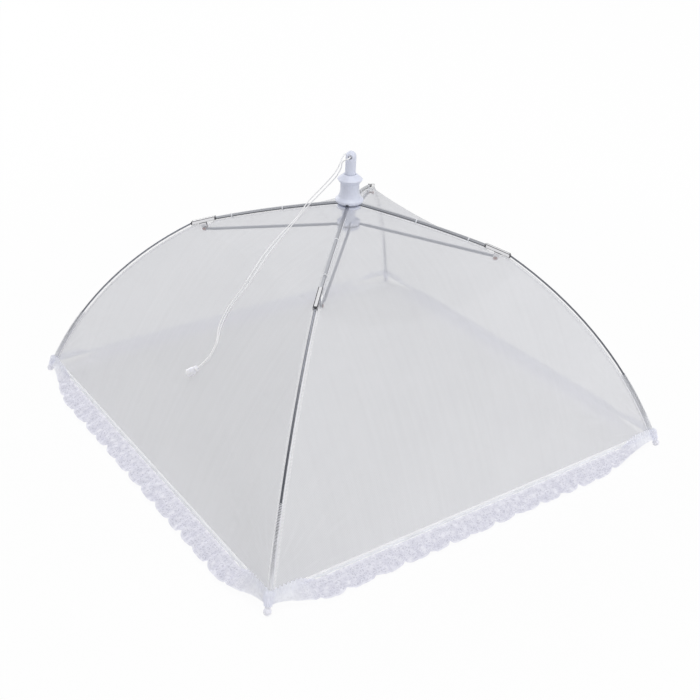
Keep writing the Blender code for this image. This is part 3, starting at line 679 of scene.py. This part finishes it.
def lace_finish():
    material, tree = new_material("gathered_lace")
    uv, run, drop = cloth_uv(tree)
    bunched = between(tree, run, BUNCH_START, BUNCH_END)
    solid, cover = lace_pattern(tree, uv, drop, bunched)
    mottle = noise(tree, uv, 190.0, 3.0)
    worn = between(tree, mottle, 0.3, 0.7, 0.86, 1.0)
    alpha = product(tree, between(tree, cover, 0.0, 1.0, 0.72, 0.97), worn)
    uneven = between(tree, mottle, 0.35, 0.65, 0.55, 1.0)
    thick = product(tree, between(tree, cover, 0.0, 1.0, 0.45, 1.0), uneven)
    # In the bunched corners the pleats are painted shade: darker lines in the colour between the gathers.
    creased = noise(tree, stretched(tree, uv, (620.0, 90.0, 1.0)), 1.0, 1.0)
    painted_pleat_shade = between(tree, creased, 0.42, 0.58, 0.3, 1.0)
    thick = larger(tree, thick, product(tree, bunched, painted_pleat_shade))
    # Where the lace is thin it takes the darker lace colour, painted shade of what lies behind its holes, and
    # a random mottle varies it too; the bunched corners get a whiter colour as painted light that keeps them
    # white in their shade.
    colour = blend_colours(tree, thick, LACE_SHADE, LACE_PALE)
    colour = blend_colours(tree, product(tree, bunched, thick), colour, LACE_BUNCHED_PAINTED_LIGHT)
    bump = bumped(tree, total(tree, product(tree, solid, 0.6), mottle), 0.0004, 0.8)
    glow = between(tree, bunched, 0.0, 1.0, 0.4, 0.45)
    finish_with(tree, cloth_shader(tree, colour, glow, alpha, bump))
    return material


lace_white = lace_finish()
print(lace_white.name)

# %% The tape's and the thread's finish
BINDING_WIDTH = 0.003
BINDING_FOLD = 0.0004
TAPE_WIDTH = BINDING_WIDTH + 2 * BINDING_FOLD


def woven_finish(name, colour, threads, glow, tape_width=0.0):
    """Fine crossing threads with a little wear. A tape's two edges are closed, and its middle is thin."""
    material, tree = new_material(name)
    place = object_place(tree)
    weave = voronoi(tree, place, "F1", threads).outputs[0]
    blotch = between(tree, noise(tree, place, 90.0, 3.0), 0.3, 0.7)
    mixed = blend_colours(tree, blotch, tuple(value * 0.9 for value in colour), colour)
    bump = bumped(tree, weave, 0.0002, 0.6)
    cover = None
    if tape_width:
        _, _, round_it = cloth_uv(tree)
        turn = maths(tree, "COSINE", product(tree, round_it, math.pi / tape_width))
        cover = between(tree, maths(tree, "ABSOLUTE", turn), 0.6, 0.85, 0.3, 1.0)
    finish_with(tree, cloth_shader(tree, mixed, glow, cover, bump, roughness=0.85, sheen=0.25))
    return material


binding_white = woven_finish("hem_tape", (0.96, 0.97, 1.0), 900.0, glow=0.35, tape_width=TAPE_WIDTH)
thread_white = woven_finish("sewing_thread", (0.95, 0.96, 1.0), 2200.0, glow=0.1)
print(binding_white.name, thread_white.name)

# %% The hem's line
HEM_SLOPE_SHARE = 0.98
BINDING_THICKNESS = 0.001
CORNER_CLEARANCE = 0.0019
SLOW_GATHER = 0.0147
QUICK_GATHER = 0.0083
OWN_WAVES = 8

hem_edge = net_place(0, 1)
hem_down = (hem_edge - net_place(0, HEM_SLOPE_SHARE)).normalized()
hem_out = Vector((0, hem_down.z, -hem_down.y))
lace_start = hem_edge + hem_down * (2 * GAP + BINDING_WIDTH + BINDING_THICKNESS / 2)


def ripple(place, length, start=0.0):
    return math.sin(place / length * 2 * math.pi + start)


def gathers(place, seed):
    """Uneven small waves along the hem, from -1 to 1."""
    slow = ripple(place, SLOW_GATHER, seed)
    quick = ripple(place, QUICK_GATHER, 1.7 * seed + 1.3 * slow)
    return (slow + 0.7 * quick) / 1.7


def own_seed(across, hand):
    """0 at the panel's middle, where two halves meet, and each half's own sign from there on."""
    return hand * eased(OWN_WAVES * across)


print("lace starts at", [round(value, 4) for value in lace_start])

# %% The binding, folded over the net's edge
BINDING_COLUMNS = 120
BINDING_ROWS = 16
BINDING_WAVE = 0.00025
CORNER_WAVE = 0.0004
CLOSED_BY = 0.00002


def binding_half(across, round_it, hand):
    """A point of the flat tube: round_it goes once round it, from the lower edge to the same edge."""
    turn = 2 * math.pi * round_it
    half = TAPE_WIDTH / 2
    middle = hem_edge + hem_down * (GAP + BINDING_WIDTH / 2)
    along = across * (-middle.y - CORNER_CLEARANCE * math.sqrt(2))
    near_corner = eased((across - 0.55) / 0.4)
    wave = gathers(along, 2.0 + own_seed(across, hand)) * (BINDING_WAVE + CORNER_WAVE * near_corner)
    piped = 0.35 + 1.3 * abs(math.cos(turn)) ** 3
    thick = BINDING_THICKNESS / 2 * piped * (1.15 + 0.25 * gathers(along, 5.0))
    point = middle + hem_down * (half * math.cos(turn) + 0.4 * wave)
    point = point + hem_out * (thick * math.sin(turn) + wave)
    return Vector((hand * along, point.y, point.z)), (along, TAPE_WIDTH * round_it)


for side, degrees, hand, end in HALVES:
    shape = half_grid(BINDING_COLUMNS, BINDING_ROWS, binding_half, degrees, hand)
    bmesh.ops.remove_doubles(shape, verts=shape.verts, dist=CLOSED_BY)
    name = f"{side}_hem_binding_{end}_half"
    piece = place_piece(name, shape, binding_white, smooth=CLOTH_SMOOTH)
    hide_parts(f"{side}_hem_binding")
    follow_rib(piece)
print(len(HALVES), "binding halves")

# %% The lace, ruffled and turned in at the corners
LACE_COLUMNS = 260
LACE_ROWS = 9
LACE_GATHER = 1.12
LACE_SCALLOP = 0.0040
SCALLOPS_PER_HALF = 8.5
SCALLOP_LEAN = 0.35
LACE_TURN = {"front_left": 0.22, "front_right": 0.42, "back_right": 0.3, "back_left": 0.34}
CAP_COLLAR_SHARE = 0.985
COLLAR_CLEARANCE = 0.0027
RUFFLE_DEPTH = 0.0010
HEADING_START = 0.80
HEADING_GROWS = 0.10
HEADING_RISE = 0.0068
HEADING_DEPTH = 0.0026
RISE_PITCH = 0.0034
FRILL_PITCH = 0.0031
FRILL_DEPTH = 0.00035
BUNCHED_FRILL = 0.00030

collar, _ = rib_at(CAP_COLLAR_SHARE)
lace_corner = Vector((
    collar.x / math.sqrt(2) - COLLAR_CLEARANCE / math.sqrt(2),
    -collar.x / math.sqrt(2) - COLLAR_CLEARANCE / math.sqrt(2),
    collar.y,
))
lace_out = Vector((0, -LACE_DROP, LACE_RUN)).normalized()
top_reach = -lace_start.y - CORNER_CLEARANCE * math.sqrt(2)


def scallop(place, seed):
    """The lace's free edge, 0 between two scallops and 1 at a scallop's foot. They lean and are uneven."""
    turn = math.pi * SCALLOPS_PER_HALF * place + 0.5 * math.sin(9 * place + seed)
    foot = abs(math.sin(turn + SCALLOP_LEAN * math.sin(2 * turn))) ** 0.8
    return 1 - (1 - foot) * (0.75 + 0.25 * math.sin(23 * place + 2 * seed))


def lace_half(across, down, hand, turn_share):
    """A point of half a lace. It is sewn on along its top, free below, and tied to the cap at its end."""
    turning = eased((across - 1 + turn_share) / turn_share)
    bunched = eased((across - HEADING_START) / HEADING_GROWS)
    own = own_seed(across, hand)
    near_top = (1 - down) ** 2
    along = across * top_reach
    rise = HEADING_RISE * bunched * (1 + 0.1 * ripple(along, RISE_PITCH, 2 * hand))
    top = Vector((along, lace_start.y, lace_start.z)) - hem_down * rise * near_top
    bite = (1 - scallop(across, 1.9 * own)) * (1 - turning)
    free = Vector((0, -LACE_RUN, -LACE_DROP)) * down * (1 - down * LACE_SCALLOP / LACE_RUN * bite)
    tied = (lace_corner - Vector((top_reach, lace_start.y, lace_start.z))) * down
    loose = (0.25 + 0.75 * down) * (1 - 0.75 * turning)
    wave = gathers(along, 0.8 * own + 0.3) * RUFFLE_DEPTH * loose
    frill = ripple(along, FRILL_PITCH) * (FRILL_DEPTH + BUNCHED_FRILL * bunched)
    heading = (HEADING_DEPTH * bunched + frill) * near_top
    point = top + free.lerp(tied, turning) + lace_out * wave + hem_out * heading
    return Vector((hand * point.x, point.y, point.z)), (along * LACE_GATHER, down * LACE_WIDTH)


for side, degrees, hand, end in HALVES:
    turn_share = LACE_TURN[corner_of(degrees, hand)]
    shape = half_grid(
        LACE_COLUMNS, LACE_ROWS,
        lambda across, down, hand: lace_half(across, down, hand, turn_share), degrees, hand,
    )
    area = sum(face.calc_area() for face in shape.faces)
    piece = place_piece(f"{side}_lace_{end}_half", shape, lace_white, smooth=CLOTH_SMOOTH)
    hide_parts(f"{side}_lace_trim")
    follow_rib(piece)
print(f"a half of lace covers {area:.5f} square metres")

# %% [markdown]
#
# Each half panel is nearly a right triangle; its area is printed where the panels are cut, and here the size
# it was cut from.

# %% Say what each half panel is
print(f"flat size {-hem_edge.y:.3f} by {NET_DOWN:.3f} m")

# %% [markdown]
# ## Seams and thread
#
# The panels are sewn to each other along the ribs. The spare cloth there is thin, but its folded edges show
# as two fine white lines beside the rib. White thread holds the seam to the rib: two ties on each channel,
# and overcasting round the lower wire that gets closer towards the cap. A thread loop is a helix with an oval
# section, because it goes round the wire and down to the seam. Its turns are counted along the rib, so the
# spacing can change.

# %% The seam's finish
SEAM_EDGE = 0.0011
SEAM_FOLD = 0.0004
SEAM_BLUR = 0.0002
STITCH_LENGTH = 0.0013


def seam_finish():
    """Thin cloth under the rib, with a white folded edge each side."""
    material, tree = new_material("seam_cloth")
    uv, across, along = cloth_uv(tree)
    aside = maths(tree, "ABSOLUTE", across)
    stitch = maths(tree, "PINGPONG", product(tree, along, 1 / STITCH_LENGTH), 1.0)
    lap = total(tree, stitch, between(tree, noise(tree, uv, 420.0), 0.3, 0.7))
    inner = between(tree, aside, SEAM_EDGE - SEAM_BLUR, SEAM_EDGE)
    outer = between(tree, aside, SEAM_EDGE + SEAM_FOLD, SEAM_EDGE + SEAM_FOLD + SEAM_BLUR, 1.0, 0.0)
    folded = product(tree, inner, outer)
    cover = larger(tree, between(tree, lap, 0.4, 1.6, 0.05, 0.25), product(tree, folded, 0.9))
    colour = blend_colours(tree, folded, (0.74, 0.745, 0.77), (0.98, 0.98, 1.0))
    finish_with(tree, cloth_shader(tree, colour, 0.5, cover))
    return material


seam_white = seam_finish()
print(seam_white.name)

# %% The seam's spare cloth
SEAM_HALF = 0.0032
SEAM_OVER = 0.00035
SEAM_START = 0.05
SEAM_COLUMNS = 6
SEAM_ROWS = 90


def from_rib(corner, reach, across, height):
    """A place in a corner's own frame: out along the rib, across it, and up."""
    angle = math.radians(CORNERS[corner])
    return Vector((
        reach * math.cos(angle) - across * math.sin(angle),
        reach * math.sin(angle) + across * math.cos(angle),
        height,
    ))


for corner in CORNERS:
    shape = bmesh.new()
    bmesh.ops.create_grid(shape, x_segments=SEAM_COLUMNS, y_segments=SEAM_ROWS, size=0.5)
    flat = {}
    for vert in shape.verts:
        across = 2 * vert.co.x * SEAM_HALF
        share = SEAM_START + (NET_END - SEAM_START) * (0.5 - vert.co.y)
        point = under_rib(share, NET_UNDER_RIB - SEAM_OVER)
        vert.co = from_rib(corner, point.x - abs(across), across, point.y)
        flat[vert] = (across, share * RIB_LENGTH)
    lay_flat(shape, flat)
    at_ear = [
        face for face in shape.faces
        if abs(Vector(face.calc_center_median()[:2]).length - RIVET_REACH) < EAR_SPAN
    ]
    bmesh.ops.delete(shape, geom=at_ear, context="FACES")
    place_piece(f"{corner}_seam_cloth", shape, seam_white, f"{corner}_rib", CLOTH_SMOOTH)
print("seam cloth along", len(CORNERS), "ribs")

# %% The thread round the ribs
THREAD_RADIUS = 0.00026
THREAD_ROUNDING = 1
POINTS_A_TURN = 10
SEAM_LOW = -0.0023
TIES = {
    "inner_tie": (0.140, 0.143, 3, 1.0, 0.00132, 0.00142, SEAM_LOW),
    "outer_tie": (0.270, 0.273, 3, 1.0, 0.00132, 0.00142, SEAM_LOW),
    "overcasting": (0.79, 0.955, 84, 1.6, 0.00125, 0.00125, SEAM_LOW),
    "end_wrap": (0.955, 0.972, 15, 1.0, 0.00118, 0.00118, -0.00118),
}


def loops(start, end, turns, crowding, half_width, high, low):
    """A helix round the rib between two shares. Its turns crowd towards the end when crowding is over 1."""
    points = []
    steps = turns * POINTS_A_TURN
    for step in range(steps + 1):
        t = step / steps
        share = start + (end - start) * (1 - (1 - t) ** crowding)
        turn = 2 * math.pi * turns * t
        point, along = rib_at(share)
        up = (high + low) / 2 + (high - low) / 2 * math.cos(turn)
        point = point + upwards(along) * up
        points.append((point.x, half_width * math.sin(turn), point.y))
    return points


for corner in CORNERS:
    for name, sizes in TIES.items():
        points = [from_rib(corner, *point) for point in loops(*sizes)]
        thread = tube(f"{corner}_{name}", points, THREAD_RADIUS, THREAD_ROUNDING, thread_white)
        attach(thread, f"{corner}_rib")
print(len(TIES) * len(CORNERS), "threads")

# %% [markdown]
# ## The lace tucked round the caps
#
# Where two laces meet, their ends are wrapped round the cap's collar and sewn there. A cone with many sides
# is already a sleeve. Its points are pushed in and out by their angle, so it looks gathered.

# %% A gathered sleeve round each cap
TUFT_START = 0.958
TUFT_END = 0.989
TUFT_TOP = 0.0016
TUFT_LOW = 0.0028
TUFT_HIGH = 0.0039
TUFT_SIDES = 72
TUFT_RINGS = 9
TUFT_FOLDS = 9
TUFT_FOLD_DEPTH = 0.0003
TUFT_LACE_TOP = 0.004
TUFT_LACE_DOWN = 0.006

for corner in CORNERS:
    shape = bmesh.new()
    bmesh.ops.create_cone(shape, cap_ends=False, segments=TUFT_SIDES, radius1=1, radius2=1, depth=1)
    upright = [edge for edge in shape.edges if abs(edge.verts[0].co.z - edge.verts[1].co.z) > 0.5]
    bmesh.ops.subdivide_edges(shape, edges=upright, cuts=TUFT_RINGS)
    flat = {}
    for vert in shape.verts:
        down = 0.5 - vert.co.z
        angle = math.atan2(vert.co.y, vert.co.x)
        swelling = (TUFT_HIGH - TUFT_TOP) * eased(4 * down)
        closing = (TUFT_LOW - TUFT_HIGH) * eased(1.2 * down - 0.2)
        fold = TUFT_FOLD_DEPTH * math.sin(TUFT_FOLDS * angle + 2 * math.sin(3 * down))
        reach = TUFT_TOP + swelling + closing + fold
        centre, along = rib_at(TUFT_START + (TUFT_END - TUFT_START) * down)
        point = centre + upwards(along) * reach * math.cos(angle)
        vert.co = from_rib(corner, point.x, reach * math.sin(angle), point.y)
        # Its cloth places lie in the lace's bunched zone, so the lace's painted light and painted pleat shade
        # for bunched corners cover it.
        flat[vert] = (BUNCH_END + abs(angle) * reach, TUFT_LACE_TOP + TUFT_LACE_DOWN * down)
    lay_flat(shape, flat)
    place_piece(f"{corner}_lace_tuft", shape, lace_white, f"{corner}_rib", CLOTH_SMOOTH)
print("tufts on", len(CORNERS), "caps")

# %% [markdown]
# ## The rigid pieces' finishes
#
# The CAD nodes keep their shapes, and each gets a finish by its kind: moulded plastic with a faint lavender
# tone, caps whose lighter colour is painted light in their shade, drawn steel with a painted highlight on top
# and painted shade on its sides, pressed clips with a painted highlight and painted shade on their edges, and
# copper rivets with the same painted highlight. Even a plain white plastic has a slightly uneven gloss, and
# that is what makes it look moulded. The steel's bends and edges are found from the arc that the CAD drew the
# rib on, so no image is used.


# %% Plastic
def plastic_finish(name, colour, softness=0.1, gloss=0.28):
    material, tree = new_material(name)
    place = object_place(tree)
    cloud = noise(tree, place, 160.0, 3.0)
    grain = noise(tree, place, 2600.0)
    shade = tuple(value * 0.93 for value in colour)
    shader = node(
        tree, "BsdfPrincipled", None,
        Base_Color=blend_colours(tree, between(tree, cloud, 0.35, 0.65), shade, colour),
        Roughness=between(tree, cloud, 0.3, 0.7, gloss, gloss + 0.14),
        Normal=bumped(tree, grain, 0.00004, 0.5),
        Subsurface_Weight=softness, Subsurface_Scale=0.002, Subsurface_Radius=(0.9, 0.9, 1.0),
    )
    finish_with(tree, shader.outputs[0])
    return material


plastics = {
    "white_plastic": plastic_finish("moulded_plastic", (0.74, 0.77, 0.89)),
    # The caps' colour is lighter than the crown's: painted light, because they stand low in shade.
    "cap_plastic_painted_light": plastic_finish("moulded_caps_painted_light", (0.90, 0.90, 0.98)),
    "milky_plastic": plastic_finish("milky_stopper", (0.93, 0.93, 1.0), softness=0.5, gloss=0.12),
}
print(len(plastics), "plastics")

# %% Where the ribs and the clips bend
CLIP_BOW = 0.00003
WALL_FOOT = (-0.0003, 0.0)
WALL_BEND = (0.0008, 0.0010)
CLIP_TOP_EDGE = (0.0014, 0.0018)
CLIP_BEND = (0.0013, 0.0015)
CLIP_LIP_LOW = (-0.0016, -0.0014)
CLIP_LIP_HIGH = (-0.0010, -0.0008)
CLIP_ENDS = (0.0095, 0.0102)


def rib_places(tree):
    """How far a place is from the crown's axis, how far aside of the nearest rib's plane, and how high."""
    parts = node(tree, "SeparateXYZ", None, Vector=object_place(tree)).outputs
    sides = [maths(tree, "ABSOLUTE", part) for part in parts[:2]]
    aside = maths(tree, "ABSOLUTE", maths(tree, "SUBTRACT", *sides))
    return diagonal(tree, parts[0], parts[1]), aside, parts[2]


def above_arc(tree, reach, height, start, end, bow):
    """The height above a rib's or a clip's middle line, which is an arc in the rib's own plane."""
    _, radius, centre = arc_of(start, end, bow)
    out = maths(tree, "SUBTRACT", reach, centre.x)
    up = maths(tree, "SUBTRACT", height, centre.y)
    return maths(tree, "SUBTRACT", diagonal(tree, out, up), radius)


def channel_wall(tree):
    """1 on the flat wall of an upper rib, which gets a painted highlight, and 0 on its bend and its lower
    edge, which keep painted shade.
    """
    reach, _, height = rib_places(tree)
    above = above_arc(tree, reach, height, CROWN_PIVOT, CLIP_START, UPPER_BOW)
    foot = between(tree, above, *WALL_FOOT, 1.0, 0.0)
    return rest_of(tree, larger(tree, foot, between(tree, above, *WALL_BEND)))


def clip_edges(tree, on_top):
    """1 on a clip's edges, its lip and its ends, which get painted shade."""
    reach, aside, height = rib_places(tree)
    above = above_arc(tree, reach, height, CLIP_START, CLIP_END, CLIP_BOW)
    top_edge = product(tree, between(tree, aside, *CLIP_TOP_EDGE), on_top)
    over_lip = between(tree, above, *CLIP_LIP_LOW)
    lip = product(tree, over_lip, between(tree, above, *CLIP_LIP_HIGH, 1.0, 0.0))
    bend = larger(tree, between(tree, above, *CLIP_BEND), lip)
    side_edge = product(tree, bend, rest_of(tree, on_top))
    from_middle = maths(tree, "SUBTRACT", reach, (CLIP_START.x + CLIP_END.x) / 2)
    ends = between(tree, maths(tree, "ABSOLUTE", from_middle), *CLIP_ENDS)
    return larger(tree, ends, larger(tree, top_edge, side_edge))


print("clip's middle", round((CLIP_START.x + CLIP_END.x) / 2, 4), "m from the axis")

# %% Metal
FINE_SCRATCHES = 1400.0
COARSE_SCRATCHES = 600.0
UNDERSIDE_PAINTED_LIGHT = (0.86, 0.86, 0.88)


def metal_finish(name, dark, light, roughness, scratches=FINE_SCRATCHES, shape=None):
    """Rolled metal with painted light: a painted highlight on faces turned up, painted shade in the darker
    colour of its sides, and painted light on its shaded underside. A shape adds painted highlights and
    painted shade at its bends and edges."""
    material, tree = new_material(name)
    place = object_place(tree)
    facing = node(tree, "SeparateXYZ", None, Vector=node(tree, "TexCoord").outputs["Normal"]).outputs[2]
    scratch = noise(tree, place, scratches, 4.0)
    cloud = noise(tree, place, 45.0, 3.0)
    # Painted light: faces turned up get a painted highlight, faces turned down get painted light in their
    # shade, and the sides keep the dark colour as painted shade.
    on_top = between(tree, facing, 0.6, 0.95)
    painted_underside_light = between(tree, facing, -0.5, -0.1, 1.0, 0.0)
    painted_highlight = product(tree, larger(tree, on_top, painted_underside_light), between(tree, cloud, 0.3, 0.7, 0.7, 1.0))
    # An upper rib's flat wall gets a painted highlight, and its bend and lower edge keep painted shade.
    if shape == "channel":
        painted_highlight = larger(tree, painted_highlight, product(tree, channel_wall(tree), rest_of(tree, on_top)))
    # A clip gets a painted highlight, except on its edges, lip and ends, which get painted shade.
    if shape == "clip":
        painted_highlight = rest_of(tree, clip_edges(tree, on_top))
    share = total(tree, painted_highlight, between(tree, scratch, 0.3, 0.7, 0.0, 0.1))
    # Of the two colours, the dark one is painted shade and the light one painted light; the scratches and the
    # cloud are real unevenness.
    colour = blend_colours(tree, share, dark, light)
    if shape != "clip":
        colour = blend_colours(tree, painted_underside_light, colour, UNDERSIDE_PAINTED_LIGHT)
    shader = node(
        tree, "BsdfPrincipled", None,
        Base_Color=colour, Metallic=1.0, Normal=bumped(tree, scratch, 0.00003, 0.4),
        Roughness=between(tree, scratch, 0.3, 0.7, roughness - 0.08, roughness + 0.1),
    )
    finish_with(tree, shader.outputs[0])
    return material


# Each metal is given its painted shade colour first and its painted light colour second.
metals = {
    "rib_steel": metal_finish(
        "drawn_steel", (0.14, 0.145, 0.16), (0.44, 0.45, 0.48), 0.34, shape="channel"
    ),
    "tie_steel": metal_finish("tie_wire_steel", (0.12, 0.125, 0.14), (0.40, 0.41, 0.44), 0.34),
    "stretcher_steel": metal_finish("stretcher_steel", (0.20, 0.22, 0.26), (0.40, 0.42, 0.47), 0.34),
    "wire_steel": metal_finish("spring_wire", (0.09, 0.095, 0.11), (0.40, 0.41, 0.45), 0.32),
    "clip_steel": metal_finish(
        "pressed_clip", (0.03, 0.03, 0.035), (0.72, 0.72, 0.74), 0.2, COARSE_SCRATCHES, "clip"
    ),
    "copper": metal_finish("rivet_copper", (0.20, 0.05, 0.03), (0.32, 0.10, 0.06), 0.4, COARSE_SCRATCHES),
}
print(len(metals), "metals")

# %% Give each rigid piece its finish
KINDS = {
    "crown_tie_wire": "tie_steel",
    "runner_tie_wire": "tie_steel",
    "crown": "white_plastic",
    "runner": "white_plastic",
    "pull_post": "white_plastic",
    "tip_cap": "cap_plastic_painted_light",
    "cord_stopper": "milky_plastic",
    "upper_rib": "rib_steel",
    "stretcher": "stretcher_steel",
    "lower_rib": "wire_steel",
    "rib_clip": "clip_steel",
    "clip_rivet": "copper",
    "rivet_head": "copper",
}
finishes = {**plastics, **metals}
dressed = 0
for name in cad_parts:
    kind = next((finish for ending, finish in KINDS.items() if name.endswith(ending)), None)
    if kind is None:
        continue
    for slot in bpy.data.objects[name].material_slots:
        slot.material = finishes[kind]
    dressed += 1
print(dressed, "rigid nodes dressed")

# %% [markdown]
# ## The floor and the light
#
# The cover stands in an even studio light: a large soft lamp above, one behind that shines through the net,
# one from the front that gives the crown its shading, and a pale world. The floor is white. Most of its white
# is shown to the camera only, so the background stays clean, and a soft shadow remains. Where the floor is
# seen through the net, much less of its white is shown, because a net looks grey when it stands before real
# shade. Behind two layers of net the floor lies outside the cover, and most of its white is back.

# %% The floor and the world
FLOOR_DEPTH = 0.0003
FLOOR_HALF = 9.0
FLOOR_GREY = 0.9
SHOWN_NEAR = 0.92
SHOWN_FAR = 0.98
NEAR_REACH = 0.25
FAR_REACH = 0.8
SHOWN_THROUGH_NET = 0.08
SHOWN_THROUGH_TWO = 0.75
WORLD_LEVEL = 0.52
WHITE = (1.0, 1.0, 1.0, 1.0)


def seen_ray(tree):
    """1 for rays that show the background: from the camera, and in metal and clear plastic."""
    path = node(tree, "LightPath").outputs
    seen = larger(tree, path["Is Camera Ray"], path["Is Glossy Ray"])
    return larger(tree, seen, path["Is Transmission Ray"])


floor_white, tree = new_material("floor_white")
shown = node(tree, "Emission", None, Color=WHITE, Strength=1.0).outputs[0]
matt = node(tree, "BsdfDiffuse", None, Color=(FLOOR_GREY, FLOOR_GREY, FLOOR_GREY, 1.0)).outputs[0]
away = node(tree, "VectorMath", {"operation": "LENGTH"}, i0=object_place(tree)).outputs["Value"]
reach_share = between(tree, away, NEAR_REACH, FAR_REACH, SHOWN_NEAR, SHOWN_FAR)
veils = node(tree, "LightPath").outputs["Transparent Depth"]
one_net = between(tree, veils, 0.0, 1.0, 1.0, SHOWN_THROUGH_NET)
veil_share = larger(tree, one_net, between(tree, veils, 1.0, 2.0, 0.0, SHOWN_THROUGH_TWO))
share = product(tree, seen_ray(tree), product(tree, reach_share, veil_share))
finish_with(tree, blend_shaders(tree, share, matt, shown))

shape = bmesh.new()
bmesh.ops.create_grid(shape, x_segments=1, y_segments=1, size=FLOOR_HALF)
bmesh.ops.translate(shape, verts=shape.verts, vec=(0, 0, -FLOOR_DEPTH))
floor = place_piece("studio_floor", shape, floor_white)

world = bpy.data.worlds.new("studio_world")
world.use_nodes = True
tree = world.node_tree
tree.nodes.clear()
strength = between(tree, seen_ray(tree), 0.0, 1.0, WORLD_LEVEL, 1.0)
sky = node(tree, "Background", None, Color=WHITE, Strength=strength).outputs[0]
node(tree, "OutputWorld", None, Surface=sky)
bpy.context.scene.world = world
bpy.context.scene.view_settings.view_transform = "Standard"
print("floor", 2 * FLOOR_HALF, "m wide")


# %% The lamps
def soft_lamp(name, place, size, watts):
    """A square lamp that faces the cover."""
    lamp = bpy.data.lights.new(name, "AREA")
    lamp.size = size
    lamp.energy = watts
    holder = bpy.data.objects.new(name, lamp)
    holder.location = place
    holder.rotation_euler = (-Vector(place)).to_track_quat("-Z", "Y").to_euler()
    bpy.context.scene.collection.objects.link(holder)


soft_lamp("key_lamp", place=(-0.1, -0.4, 2.0), size=1.6, watts=16.0)
soft_lamp("back_lamp", place=(-0.2, 1.9, 0.9), size=1.4, watts=10.0)
soft_lamp("front_lamp", place=(1.0, -1.9, 0.6), size=1.2, watts=7.0)
print(len(bpy.data.lights), "lamps")
